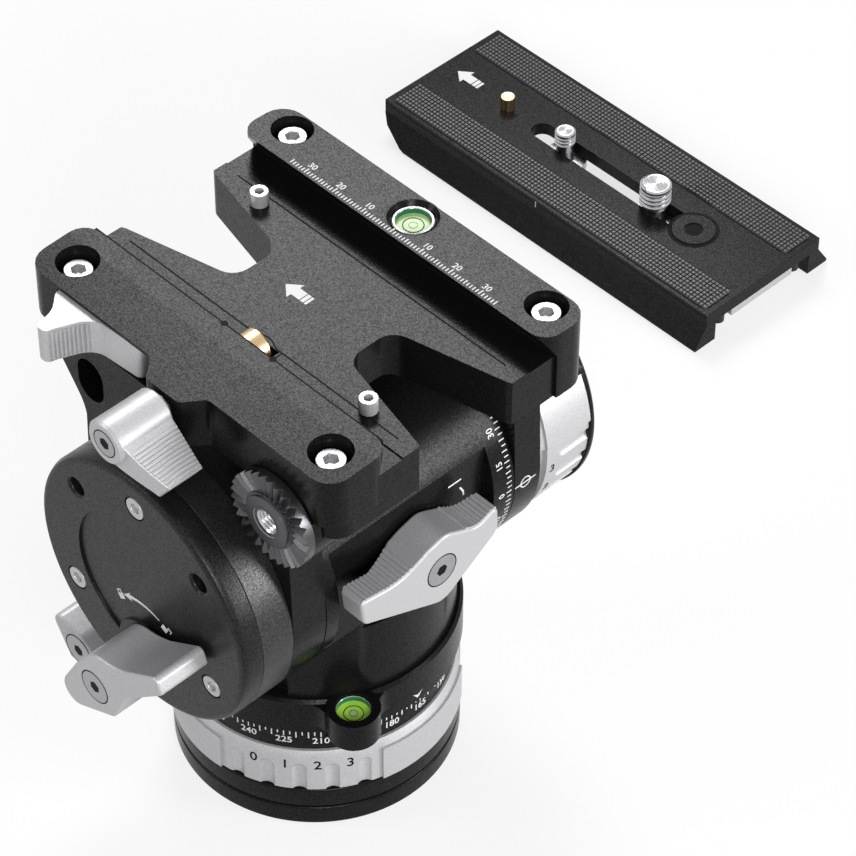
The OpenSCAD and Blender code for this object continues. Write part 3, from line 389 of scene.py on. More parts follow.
    @staticmethod
    def spin(profile: Outline, turns: float, steps: int, pitch: float) -> Mesh:
        """Turn a profile of radius and height about Z.

        Args:
            profile: Points of radius and height, from one end to the other.
            turns: Number of turns.
            steps: Steps in one turn.
            pitch: Rise in one turn; 0 closes the round.

        Returns:
            The new shape.
        """
        bm = bmesh.new()
        verts = [bm.verts.new((r, 0.0, z)) for r, z in profile]
        edges = [bm.edges.new(pair) for pair in zip(verts, verts[1:])]
        bmesh.ops.spin(
            bm, geom=verts + edges, cent=(0, 0, 0), axis=(0, 0, 1), dvec=(0, 0, pitch / steps),
            angle=math.tau * turns, steps=round(steps * turns), use_merge=pitch == 0)
        bmesh.ops.remove_doubles(bm, verts=bm.verts, dist=1e-4)
        return bm

    @staticmethod
    def turned(profile: Outline, steps: int = 48, place: Place = (0, 0, 0)) -> Mesh:
        """Round shape about an upright axis.

        Args:
            profile: Points of radius and height, from one end to the other.
            steps: Sides of the round.
            place: Where its origin comes.

        Returns:
            The new shape.
        """
        bm = Forms.spin(profile, 1, steps, 0.0)
        Forms.move(bm, place)
        return bm

    @staticmethod
    def helix(r: float, pitch: float, turns: float) -> Mesh:
        """Screw thread that rises from z = 0 along Z.

        Args:
            r: Outer radius.
            pitch: Rise in one turn.
            turns: Number of turns.

        Returns:
            The new shape, open inside.
        """
        root = r - pitch * 0.5
        ridge = [(root, 0.0), (r, pitch * 0.35), (r, pitch * 0.55), (root, pitch * 0.9), (root, pitch)]
        return Forms.spin(ridge, turns, 28, pitch)

    @staticmethod
    def letters(text: str, height: float, rise: float) -> Mesh:
        """Flat letters centred on the origin in X and Y.

        Args:
            text: What is written.
            height: Height of a figure.
            rise: Half of the thickness.

        Returns:
            The letters.
        """
        figure_share, weight = 0.7, 0.015
        curve = bpy.data.curves.new("letters", "FONT")
        curve.body = text
        curve.size = height / figure_share
        curve.extrude = rise
        curve.offset = height * weight
        curve.align_x = "CENTER"
        curve.resolution_u = 3
        holder = bpy.data.objects.new("letters", curve)
        mesh = bpy.data.meshes.new_from_object(holder)
        bm = bmesh.new()
        bm.from_mesh(mesh)
        bpy.data.objects.remove(holder)
        bpy.data.curves.remove(curve)
        bpy.data.meshes.remove(mesh)
        Forms.move(bm, (0, -height / 2, 0))
        return bm

    @staticmethod
    def lay(bm: Mesh, origin: Place, right: Place, up: Place) -> Mesh:
        """Lay a flat shape on a plane.

        Args:
            bm: Shape drawn in X and Y.
            origin: Where its origin comes.
            right: Direction of its X.
            up: Direction of its Y.

        Returns:
            The same shape.
        """
        x, y = Vector(right), Vector(up)
        turn = Matrix((x, y, x.cross(y))).transposed().to_4x4()
        bm.transform(Matrix.Translation(origin) @ turn)
        return bm

    @staticmethod
    def wrap(bm: Mesh, kind: Round, r: float, angle: float, along: float) -> Mesh:
        """Wrap a flat shape on a round surface.

        Args:
            bm: Shape drawn in X and Y.
            kind: Pan surface (upright figures round Z) or tilt surface (round X, Y going up at the rear).
            r: Radius of the surface.
            angle: Angle in degrees of the shape's origin.
            along: Place of its origin along the axis.

        Returns:
            The same shape.
        """
        base = math.radians(angle)
        for v in bm.verts:
            x, y, z = v.co
            if kind is Round.PAN:
                t = base + x / r
                v.co = ((r + z) * math.cos(t), (r + z) * math.sin(t), along + y)
            else:
                t = base + y / r
                v.co = (along + x, -(r + z) * math.cos(t), TILT_Z + (r + z) * math.sin(t))
        return bm


@dataclass
class Studio:
    """Camera, floor, lamps and world.

    Attributes:
        azimuth: Camera azimuth in degrees.
        elevation: Camera elevation in degrees.
        roll: Camera roll in degrees.
        distance: Distance from the origin along the view, in millimetres.
        offset: Sideways and upward offset of the camera, in millimetres.
        lens: Focal length for the sensor, in millimetres.
        sensor: Width of the sensor, in millimetres.
        aim: Point that the lamps look at, in metres.
    """

    azimuth: float = -44.23
    elevation: float = 44.936
    roll: float = 0.251
    distance: float = 993.924
    offset: Point = (29.134, 74.969)
    lens: float = 158.976
    sensor: float = 36.0
    aim: Place = (0.05, 0.03, 0.08)

    def camera(self) -> None:
        """Place the camera at the photograph's viewing angle."""
        a, e, r = (math.radians(v) for v in (self.azimuth, self.elevation, self.roll))
        back = Vector((math.sin(a) * math.cos(e), -math.cos(a) * math.cos(e), math.sin(e)))
        right = Vector((math.cos(a), math.sin(a), 0.0))
        up = back.cross(right)
        side = right * math.cos(r) + up * math.sin(r)
        top = up * math.cos(r) - right * math.sin(r)
        eye = (back * self.distance + side * self.offset[0] + top * self.offset[1]) * MM
        data = bpy.data.cameras.new("camera")
        data.lens = self.lens
        data.sensor_width = self.sensor
        data.clip_start = 0.05
        data.clip_end = 20.0
        camera = bpy.data.objects.new("camera", data)
        turn = Matrix((side, top, back)).transposed().to_4x4()
        camera.matrix_world = Matrix.Translation(eye) @ turn
        bpy.context.scene.collection.objects.link(camera)
        bpy.context.scene.camera = camera

    def lamp(self, name: str, place: Place, size: float, power: float) -> None:
        """Add one soft square lamp that looks at the head.

        Args:
            name: Name of the lamp.
            place: Where it hangs, in metres.
            size: Side of the square, in metres.
            power: Power in watts.
        """
        data = bpy.data.lights.new(name, "AREA")
        data.energy = power
        data.size = size
        lamp = bpy.data.objects.new(name, data)
        lamp.location = place
        lamp.rotation_euler = (Vector(self.aim) - Vector(place)).to_track_quat("-Z", "Y").to_euler()
        bpy.context.scene.collection.objects.link(lamp)

    @staticmethod
    def show(tree: bpy.types.NodeTree, lit: bpy.types.Node, seen: bpy.types.Node, end: str) -> None:
        """Light with one shader, and show another to camera, glossy and transmission rays.

        Args:
            tree: Node tree of both.
            lit: Shader that lights the head.
            seen: Shader that is seen.
            end: Name of the tree's output node.
        """
        rays = add_node(tree, "LightPath")
        first = add_node(tree, "Math")
        second = add_node(tree, "Math")
        second.use_clamp = True
        mix = add_node(tree, "MixShader")
        wire(
            tree, (rays, "Is Camera Ray", first, 0), (rays, "Is Glossy Ray", first, 1), (first, 0, second, 0),
            (rays, "Is Transmission Ray", second, 1), (second, 0, mix, "Fac"), (lit, 0, mix, 1),
            (seen, 0, mix, 2), (mix, 0, tree.nodes[end], "Surface"))

    def world(self) -> None:
        """White backdrop with a softer light of its own."""
        world = bpy.data.worlds.new("studio")
        bpy.context.scene.world = world
        world.use_nodes = True
        tree = world.node_tree
        dim = fill(tree.nodes["Background"], {"Color": (0.94, 0.96, 1.0, 1), "Strength": 0.08})
        bright = add_node(tree, "Background", {"Color": (1, 1, 1, 1)})
        self.show(tree, dim, bright, "World Output")

    def floor(self) -> None:
        """Pale floor that keeps a faint shadow."""
        half, drop = 4.0, 0.0004
        bm = bmesh.new()
        bmesh.ops.create_grid(bm, x_segments=1, y_segments=1, size=half)
        mesh = bpy.data.meshes.new("floor")
        bm.to_mesh(mesh)
        bm.free()
        floor = bpy.data.objects.new("floor", mesh)
        floor.location.z = -drop
        bpy.context.scene.collection.objects.link(floor)
        material = bpy.data.materials.new("floor white")
        material.use_nodes = True
        tree = material.node_tree
        pale = fill(tree.nodes["Principled BSDF"], {"Base Color": (0.9, 0.9, 0.9, 1), "Roughness": 0.9})
        grey = add_node(tree, "BsdfDiffuse", {"Color": (0.2, 0.2, 0.2, 1)})
        glow = add_node(tree, "Emission", {"Color": (1, 1, 1, 1)})
        seen = add_node(tree, "MixShader", {"Fac": 0.75})
        wire(tree, (pale, 0, seen, 1), (glow, 0, seen, 2))
        self.show(tree, grey, seen, "Material Output")
        mesh.materials.append(material)

    def build(self) -> None:
        """Set up the whole studio."""
        bpy.context.scene.view_settings.view_transform = "Standard"
        self.camera()
        self.world()
        self.floor()
        self.lamp("front right", (0.54, 0.56, 0.86), 0.42, 7.2)
        self.lamp("rear right", (0.46, -0.88, 0.28), 0.35, 7.0)
        self.lamp("front left", (-0.75, 0.55, 0.55), 0.3, 2.5)
        self.lamp("camera side", (-0.6, -0.9, 0.7), 0.45, 11.0)


@dataclass
class Workshop:
    """Makes finished pieces and hands them to their bodies.

    Attributes:
        nodes: Solid nodes of the frame by name.
        bodies: Body of each node.
        materials: Materials made so far, by finish.
    """

    nodes: dict[str, bpy.types.Object]
    bodies: dict[str, str]
    materials: dict[str, bpy.types.Material] = field(default_factory=dict)

    def material(self, finish: Finish) -> bpy.types.Material:
        """Material of a finish, made once.

        Args:
            finish: The finish.

        Returns:
            Its material.
        """
        if finish.name not in self.materials:
            self.materials[finish.name] = finish.build()
        return self.materials[finish.name]

    def piece(
        self, name: str, bm: Mesh, finish: Finish, body: str, slot: Slot | None = None,
        smooth: float = HARD_EDGE
    ) -> bpy.types.Object:
        """Turn a bmesh into a piece that rides on a body.

        Args:
            name: Name of the piece.
            bm: Its shape in millimetres; freed here.
            finish: Its finish.
            body: Body that carries it.
            slot: Not used.
            smooth: Edges sharper than this angle stay hard.

        Returns:
            The new object.
        """
        bmesh.ops.scale(bm, verts=bm.verts, vec=(MM, MM, MM))
        bmesh.ops.recalc_face_normals(bm, faces=bm.faces)
        limit = math.radians(smooth)
        for f in bm.faces:
            f.smooth = True
        for e in bm.edges:
            e.smooth = len(e.link_faces) == 2 and e.calc_face_angle(math.pi) < limit
        mesh = bpy.data.meshes.new(name)
        bm.to_mesh(mesh)
        bm.free()
        mesh.materials.append(self.material(finish))
        thing = bpy.data.objects.new(name, mesh)
        bpy.context.scene.collection.objects.link(thing)
        even = thing.modifiers.new("flat faces stay flat", "WEIGHTED_NORMAL")
        even.keep_sharp = True
        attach(thing, body)
        LOG.info("piece %s on %s: %d faces", name, body, len(mesh.polygons))
        return thing

    def dress(self, node: str, finish: Finish) -> None:
        """Give a solid node its finish.

        Args:
            node: Name of the node.
            finish: Its finish.
        """
        thing = self.nodes[node]
        thing.data.materials.clear()
        thing.data.materials.append(self.material(finish))

    def copy(self, node: str) -> Mesh:
        """Merged copy of a solid node, with flat faces made whole.

        Args:
            node: Solid node to copy.

        Returns:
            The copy, in millimetres.
        """
        bm = bmesh.new()
        bm.from_mesh(self.nodes[node].data)
        bmesh.ops.scale(bm, verts=bm.verts, vec=(1 / MM, 1 / MM, 1 / MM))
        bmesh.ops.remove_doubles(bm, verts=bm.verts, dist=2e-3)
        bmesh.ops.dissolve_limit(
            bm, angle_limit=math.radians(1.0), verts=bm.verts, edges=bm.edges, use_dissolve_boundaries=False)
        return bm

    def stand_in(self, node: str, bm: Mesh, finish: Finish, width: float) -> None:
        """Break the edges of a shape and stand it in for a solid.

        Args:
            node: Solid node that it replaces.
            bm: The shape; freed here.
            finish: Its finish.
            width: Width of the broken edge in millimetres; 0 leaves the edges as they are.
        """
        limit = math.radians(SHARP_EDGE)
        if width > 0:
            sharp = [e for e in bm.edges if len(e.link_faces) == 2 and e.calc_face_angle(0.0) > limit]
            bmesh.ops.bevel(
                bm, geom=sharp, offset=width, offset_type="OFFSET", segments=2, profile=0.5, affect="EDGES",
                clamp_overlap=True, material=-1)
            bmesh.ops.remove_doubles(bm, verts=bm.verts, dist=1e-3)
        thing = self.piece(node + "_finished", bm, finish, self.bodies[node])
        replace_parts(thing, node)

    def softened(self, node: str, finish: Finish, width: float) -> None:
        """Stand a copy with broken edges in for a solid."""
        self.stand_in(node, self.copy(node), finish, width)


@dataclass
class Casework:
    """Housings, arms, drum, platform and rails with broken edges.

    Attributes:
        shop: Workshop that makes the pieces.
        band: Distance of the rails' crease from the channel's middle.
        fall: Drop of the rails' outer edge, per millimetre outside the crease.
    """

    shop: Workshop
    band: float = 30.4
    fall: float = 0.04

    def crease(self, bm: Mesh, side: int) -> None:
        """Let a rail's top fall away outside a crease.

        Args:
            bm: Copy of the rail.
            side: 1 for the right rail, -1 for the left one.
        """
        x = CHANNEL_X + side * self.band
        Forms.cut(bm, (x, 0, 0), (1, 0, 0))
        for v in bm.verts:
            out = (v.co.x - x) * side
            if v.co.z > RAIL_TOP - 0.01 and out > 0:
                v.co.z -= out * self.fall

    def seams(self) -> None:
        """Dark seams along the channel's floor, a black strip of painted shadow under the left rail's lip
        where the dovetail is dark, and the plunger bay's cover.
        """
        left, right, end, half = -14.6, 20.0, 46.5, 0.21
        lip, lip_end = CHANNEL_X - 24.5, 49.5
        bay = [
            (left, -end), (left, -5.6), (-14.2, -4.4), (-13.5, -3.0), (-13.3, -1.4), (-13.6, 0.6),
            (-14.3, 2.0), (left, 3.2), (left, end)]
        bm = bmesh.new()
        for path in (bay, [(right, -end), (right, end)]):
            seam = bmesh.new()
            near = [(x + half, y) for x, y in path]
            far = [(x - half, y) for x, y in reversed(path)]
            Forms.plate(seam, near + far, 0.1)
            Forms.move(seam, (0, 0, FLOOR_Z))
            Forms.join(bm, seam)
        # Painted shadow: a black strip along the lip's edge stands in for the dark dovetail under it.
        Forms.block(bm, (lip - 0.1, -lip_end, RAIL_TOP - 0.6), (lip + 0.45, lip_end, RAIL_TOP - 0.06))
        for y in (3.7, -13.0):
            dot = Vector((lip + 0.2, y, RAIL_TOP))
            Forms.bar(bm, dot - Vector((0, 0, 1)), dot + Vector((0, 0, 0.03)), 0.9)
        self.shop.piece("platform_seams_and_lip_shadow", bm, INK, "cradle")
        cover = bmesh.new()
        Forms.block(cover, (-16.9, -7.8, FLOOR_Z - 0.8), (-14.7, -6.9, FLOOR_Z))
        self.shop.piece("plunger_bay_cover", cover, BLACK, "cradle")

    def rosette(self) -> None:
        """Make the handle's toothed rosette, and the thread in its bore."""
        y, z, hub, shrink = -35.4, 132.6, 7.5, 0.85
        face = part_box("rosette")[0][0] / MM
        bm = self.shop.copy("rosette")
        for v in bm.verts:
            out = Vector((v.co.y - y, v.co.z - z))
            if out.length > hub:
                out *= (hub + (out.length - hub) * shrink) / out.length
                v.co.y, v.co.z = out.x + y, out.y + z
        self.shop.stand_in("rosette", bm, DARK_STEEL, 0.1)
        bore, depth, start, step = 3.38, 0.4, 0.4, 0.45
        turns = [(bore - depth * (k % 2), start + step * k) for k in range(22)]
        thread = Forms.turned([(4.1, -0.05), (3.4, start)] + turns, 40)
        Forms.lay(thread, (face, y, z), *SIDE)
        self.shop.piece("handle_thread", thread, STEEL, "cradle")

    def ear(self) -> None:
        """Fill the corners between the skirt and the ear that carries its level."""
        ear, fillet, vial, thick, middle_z = 6.8, 5.0, 5.8, 7.6, 43.2
        place = Vector(PAN_LEVEL)
        toward = math.atan2(place.y, place.x)
        far, near = place.length, SKIRT_R + fillet
        swing = math.acos((far ** 2 + near ** 2 - (ear + fillet) ** 2) / (2 * far * near))
        bm = bmesh.new()
        for side in (-1, 1):
            t = toward + side * swing
            out = Vector((math.cos(t), math.sin(t)))
            middle = out * near
            start, end = -out, (place - middle).normalized()
            outline = [middle + start.slerp(end, k / 8) * fillet for k in range(9)]
            for degrees in (-60, -30, 0):
                turn = Matrix.Rotation(math.radians(degrees * side), 2)
                outline.append(place + turn @ -place.normalized() * vial)
            outline.append(out * (SKIRT_R - 2))
            web = Forms.slab([tuple(q) for q in outline], thick, 0.5)
            Forms.move(web, (0, 0, middle_z))
            Forms.join(bm, web)
        self.shop.piece("skirt_ear_fillets", bm, BLACK, "turning_body")

    def right_arm(self) -> None:
        """Make the right arm, with the thin tips of its flare cut blunt."""
        blunt = 2.0
        bm = self.shop.copy("right_arm")
        tip = max(v.co.y for v in bm.verts) - blunt
        for side in (-1, 1):
            Forms.cut(bm, (0, side * tip, 0), (0, side, 0), clear=True)
        self.shop.stand_in("right_arm", bm, BLACK, 0.5)

    def screws(self) -> None:
        """Raise the heads of the platform's socket screws a little in their seats."""
        bm = self.shop.copy("platform_screws")
        for v in bm.verts:
            seat, rise = (146.0, 2.0) if v.co.x < 0 else (147.6, 1.0)
            if v.co.z > seat:
                v.co.z += rise
        self.shop.stand_in("platform_screws", bm, BRIGHT, 0.3)

    def build(self) -> None:
        """Make all the cases."""
        for node, width in (
                ("base_plate", 0.9), ("base_housing", 0.7), ("pan_scale_ring", 0.2), ("pan_body", 0.4),
                ("left_arm", 0.6), ("tilt_knob_cap", 0.5)):
            self.shop.softened(node, BLACK, width)
        for node, side in (("platform", 1), ("left_rail", -1)):
            bm = self.shop.copy(node)
            self.crease(bm, side)
            self.shop.stand_in(node, bm, BLACK, 0.6)
        for node, finish, width in (
                ("end_disc_screws", BRIGHT, 0.25), ("stop_pins", BRIGHT, 0.3), ("left_drum", SHEEN, 0.5),
                ("end_disc", DISC, 0.9)):
            self.shop.softened(node, finish, width)
        self.right_arm()
        self.rosette()
        self.ear()
        self.screws()
        self.seams()


@dataclass
class Levers:
    """Silver levers, knobs and rings with their ridges and screws.

    Attributes:
        shop: Workshop that makes the pieces.
        ridge_r: Radius of one ridge.
        sink: How deep a ridge's middle lies under the surface.
        proud: How far a screw's cap stands out of its lever.
        cap_r: Radius of a screw's cap.
    """

    shop: Workshop
    ridge_r: float = 0.6
    sink: float = 0.15
    proud: float = 0.12
    cap_r: float = 4.6

    def lock_outline(self, size: float, wing: float, tail: float) -> Outline:
        """Outline of a lock lever in Y and Z: a slanted band with a blunt hub and a slender wing.

        Args:
            size: Scale of the outline.
            wing: Share of the wing's reach.
            tail: Share of the hub's reach on the other side.

        Returns:
            The outline.
        """
        corners = [
            (19.0 * tail, -18.4 * tail, 4.46 * tail), (-6.4, -6.0, 1.2),
            (-11.3 * wing, 4.6 * wing, 14.0 * wing ** 3), (-25.6 * wing, 17.6 * wing, 1.4),
            (-23.8 * wing, 22.5 * wing, 1.6), (-9.5 * wing, 13.4 * wing, 20.0 * wing ** 3),
            (0.3, 11.9, 7.0), (7.2, 2.6, 14.0)]
        return Forms.rounded([(y * size, z * size, r * size) for y, z, r in corners])

    def lock(self, node: str, outline: Outline, turn: float, place: Place, thick: float) -> None:
        """Make a lock lever on an axis along X, with its screw.

        Args:
            node: Solid node of the lever.
            outline: Outline about the axis.
            turn: Turn of the outline in degrees.
            place: Middle of its outer face.
            thick: Thickness.
        """
        bm = Forms.slab(outline, thick, 0.7)
        Forms.lay(bm, (place[0] + thick / 2, place[1], place[2]), *turned_side(turn))
        self.shop.stand_in(node, bm, SILVER, 0)
        self.screw(node, Vector(place), Vector((-1, 0, 0)))

    def screw(self, node: str, place: Vector, out: Vector, share: float = 1.0) -> None:
        """Let a lever's screw stand out a little, with a black ring of painted shade round it where the
        clearance round the cap would be dark.

        Args:
            node: Solid node of the lever.
            place: Middle of the cap's face.
            out: Direction out of the lever.
            share: Share of the cap's radius that shows.
        """
        name = node.replace("_lever", "_screw").replace("_knob", "_screw")
        cap = self.shop.copy(name)
        for v in cap.verts:
            away = v.co - place - out * (v.co - place).dot(out)
            if away.length > self.cap_r * share:
                v.co -= away * (1 - share)
        Forms.move(cap, out * self.proud)
        self.shop.stand_in(name, cap, SATIN, 0.3)
        # Painted shade: a black disc just under the lever's face shows as a dark ring round the cap.
        shade_ring = bmesh.new()
        Forms.bar(shade_ring, place - out * 0.3, place + out * 0.04, self.cap_r * share + 0.25, sides=40)
        self.shop.piece(node + "_cap_shade_ring", shade_ring, INK, self.shop.bodies[node], Slot.SILVER)

    def balance(self) -> None:
        """Make the gull-shaped counterbalance lever, thinner towards its ridged wings."""
        axis, face, back, thin, inner, outer = 1.3, -45.0, -34.2, 3.2, 8, 18

        def rear(x: float) -> float:
            """Place along Y of the lever's far side, at a place along X."""
            return back - thin * min(1.0, max(0.0, (abs(x - axis) - inner) / (outer - inner)))

        bm = Forms.slab(Forms.rounded([
            (-26.6, 8.0, 1.5), (-25.6, -0.4, 2.5), (0.8, -12.0, 6.0), (19.4, 0.4, 4.0), (18.9, 8.8, 1.5),
            (12.2, 6.0, 6.0), (1.6, 11.2, 5.0), (-4.2, 9.7, 9.0), (-13.5, 5.6, 18.0)]), back - face, 0.8)
        Forms.lay(bm, (axis, (face + back) / 2, TILT_Z), *REAR)
        for out in (-outer, -inner, inner, outer):
            Forms.cut(bm, (axis + out, 0, 0), (1, 0, 0))
        for v in bm.verts:
            if v.co.y > face + 3:
                v.co.y -= back - rear(v.co.x)
        starts = []
        for x in [axis - 25.4 + 1.28 * k for k in range(13)] + [axis + 8.6 + 1.05 * k for k in range(10)]:
            starts.append((Vector((x, (face + rear(x)) / 2, 130)), (rear(x) - face) / 2 - 0.5))
        tree = BVHTree.FromBMesh(bm)
        self.ridges("counterbalance_lever", tree, starts, Vector((0, 0, -1)), Vector((0, 1, 0)))
        self.shop.stand_in("counterbalance_lever", bm, SILVER, 0)
        self.screw("counterbalance_lever", Vector((axis, face, TILT_Z)), Vector((0, -1, 0)))

    def ridges(
        self, node: str, tree: BVHTree, starts: list[tuple[Vector, float]], look: Vector, along: Vector
    ) -> None:
        """Raise ridges where rays meet a lever.

        Args:
            node: Lever that carries them.
            tree: Search tree of its surface, in millimetres.
            starts: Points that the rays leave from, each with half of its ridge's length.
            look: Direction of the rays.
            along: Direction of each ridge.
        """
        bm = bmesh.new()
        for start, half in starts:
            hit = tree.ray_cast(start, look)[0]
            if hit is None:
                LOG.warning("ridge of %s misses at %s", node, tuple(start))
                continue
            middle = hit + look * self.sink
            Forms.bar(bm, middle - along * half, middle + along * half, self.ridge_r, sides=10)
        self.shop.piece(node + "_ridges", bm, SILVER, self.shop.bodies[node], smooth=40)

    def dials(self) -> None:
        """Make both drag dials with shallow flutes."""
        deepest, share = 1.25, 0.8
        for node, r, turn in (("pan_drag_ring", PAN_RING_R, -8.2), ("tilt_drag_knob", TILT_KNOB_R, 0.0)):
            bm = self.shop.copy(node)
            across = (0, 1) if node == "pan_drag_ring" else (1, 2)
            middle = Vector((0, 0)) if node == "pan_drag_ring" else Vector((0, TILT_Z))
            for v in bm.verts:
                out = Vector([v.co[i] for i in across]) - middle
                depth = r - out.length
                if 0.02 < depth < deepest:
                    out = middle + out * (r - share * depth) / out.length
                    v.co[across[0]], v.co[across[1]] = out
            spin = Matrix.Rotation(math.radians(turn), 3, "Z")
            bmesh.ops.rotate(bm, verts=bm.verts, cent=(0, 0, 0), matrix=spin)
            self.shop.stand_in(node, bm, SILVER, 0.35)

    def plunger(self) -> None:
        """Make the brass plunger that presses on the plate."""
        r, long = 4.4, 15.0
        bm = Forms.turned([(0, 0), (r, 0), (r, long - 0.6), (r - 0.4, long - 0.1), (0, long)])
        Forms.lay(bm, (-31.9, CLAMP_Y, CLAMP_Z), *SIDE)
        self.shop.stand_in("clamp_plunger", bm, BRASS, 0)

    def clamp(self) -> None:
        """Make the clamp lever: a round hub with a ridged wing that narrows to its tip."""
        long, root, hub, outer, inner = 17.0, 5.6, 6.0, -64.5, -48.5
        deep = (inner - outer) / 2
        half = deep - 0.3

        def side(u: float) -> float:
            """Half height of the wing at a distance from the axis."""
            return root - 2.4 * (max(u, 0.0) / long) ** 0.7

        def taper(u: float) -> float:
            """Inset of the wing's outer side at a distance from the axis."""
            return 5.2 * (max(u, 0.0) / long) ** 1.4

        reach = [long * k / 10 for k in range(11)]
        wing = [(u, side(u)) for u in reach] + [(u, -side(u)) for u in reversed(reach)]
        bm = Forms.slab(wing, 2 * half, 0.5)
        for v in bm.verts:
            if v.co.z < 0:
                v.co.z += taper(v.co.x)
        Forms.join(bm, Forms.turned([
            (0, -deep), (hub - 0.7, -deep), (hub, 0.7 - deep), (hub, deep - 0.6), (hub - 0.6, deep),
            (0, deep)]))
        grip = bmesh.new()
        for k in range(11):
            u = 5.8 + 1.02 * k
            low = Vector((u, self.sink - side(u), taper(u) - half + 0.4))
            high = Vector((u, self.sink - side(u), half - 0.4))
            Forms.bar(grip, low, high, self.ridge_r, sides=10)
        for shape in (bm, grip):
            Forms.lay(shape, ((outer + inner) / 2, CLAMP_Y, CLAMP_Z), *turned_side(216))
        self.shop.stand_in("clamp_lever", bm, SILVER, 0)
        self.shop.piece("clamp_lever_ridges", grip, SILVER, "clamp", smooth=40)
        self.screw("clamp_lever", Vector((outer, CLAMP_Y, CLAMP_Z)), Vector((-1, 0, 0)), 0.76)

    def stud(self) -> None:
        """Threaded stud that shows between the clamp lever and its block."""
        root, crest = 3.2, 3.9
        bm = Forms.turned([
            (0, 0), (root, 0), (crest, 0.3), (root, 0.65), (crest, 0.95), (root, 1.3), (0, 1.3)], 32)
        Forms.lay(bm, (-48.45, CLAMP_Y, CLAMP_Z), *SIDE)
        self.shop.piece("clamp_stud_thread", bm, STEEL, "clamp")

    def build(self) -> None:
        """Make the levers and their ridges."""
        for node, width in (("release_lever", 0.5), ("plate_key", 0.3)):
            self.shop.softened(node, SILVER, width)
        self.lock("tilt_lock_knob", self.lock_outline(1.0, 1.0, 1.0), 0.0, (-71.5, 0.0, TILT_LOCK_Z), 15.0)
        self.lock("pan_lock_lever", self.lock_outline(0.72, 0.62, 0.78), 81.4, (-53.8, 29.2, 43.0), 11.0)
        self.balance()
        self.clamp()
        tab = [(Vector((-51.2 + 0.95 * k, 0, 146.2)), 4.4) for k in range(9)]
        tree = BVHTree.FromBMesh(self.shop.copy("release_lever"))
        self.ridges("release_lever", tree, tab, Vector((0, 1, 0)), Vector((0, 0, -1)))
        self.stud()
        self.dials()
        self.plunger()


@dataclass
class Levels:
    """Round bubble levels.

    Attributes:
        shop: Workshop that makes the pieces.
        depth: Depth of the liquid's floor under the rim.
        circle: Radius of the aiming circle, as a share of the vial's.
        bubble: Radius of the bubble, as a share of the vial's.
    """

    shop: Workshop
    depth: float = 1.6
    circle: float = 0.56
    bubble: float = 0.24

    def level(self, node: str, place: Place, r: float, collar: float, liquid: Finish) -> None:
        """Make one level in place of its plain disc.

        Args:
            node: Solid node that it replaces.
            place: Middle of the rim's top.
            r: Radius of the vial.
            collar: How far its clear rim reaches outside the vial.
            liquid: Finish of the floor.
        """
        x, y, top = place
        floor, inside, outside = top - self.depth, r - 0.35, r + collar
        low, shadow = floor - 0.6, 0.16

        def add(name: str, profile: Outline, finish: Finish) -> bpy.types.Object:
            """Turn one ring or disc of the level."""
            bm = Forms.turned(profile, place=(x, y, 0))
            return self.shop.piece(f"{node}_{name}", bm, finish, self.shop.bodies[node], Slot.VIAL)

        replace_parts(add("liquid", [(0, low), (inside, low), (inside, floor), (0, floor)], liquid), node)
        rim = [
            (outside, top - 0.9), (outside, top - 0.3), (outside - 0.25, top), (inside + 0.1, top - 0.05),
            (inside, top - 0.2), (inside, top - 0.9)]
        add("rim", rim + rim[:1], CLEAR_RIM)
        # The wall and the bubble's ring are painted shade, dark green where the glass and the bubble's edge
        # look dark.
        out, back = inside + 0.05, inside - 0.05
        wall = [(out, low), (out, top - 0.3), (back, top - 0.3), (back, low)]
        add("wall", wall + wall[:1], VIAL_SHADE_GREEN)
        for name, ring, thick, finish in (
                ("circle", r * self.circle, 0.22, INK), ("bubble", r * self.bubble, shadow, VIAL_SHADE_GREEN)):
            band = [(ring - thick, floor), (ring - thick, floor + 0.06), (ring, floor + 0.06), (ring, floor)]
            add(name, band + band[:1], finish)
        # The glint is a painted highlight: a pale disc in the bubble.
        glint = r * self.bubble - shadow
        add("glint", [(0, floor + 0.05), (glint, floor + 0.02), (glint, floor - 0.1)], PALE_LIME)

    def build(self) -> None:
        """Make both levels, and the cone round the platform's one."""
        self.level("platform_bubble", (*RAIL_LEVEL, 151.9), 4.8, 0.5, PALE_LIME)
        self.level("pan_bubble", (*PAN_LEVEL, 47.7), 4.6, 0.0, LIME)
        wide, narrow, low = 6.78, 5.4, 150.9
        cone = [(wide, low), (wide, 152.9), (6.5, 152.9), (narrow, 151.5), (narrow, low)]
        bm = Forms.turned(cone + cone[:1], place=(*RAIL_LEVEL, 0))
        self.shop.piece("platform_bubble_cone", bm, BLACK, "cradle")


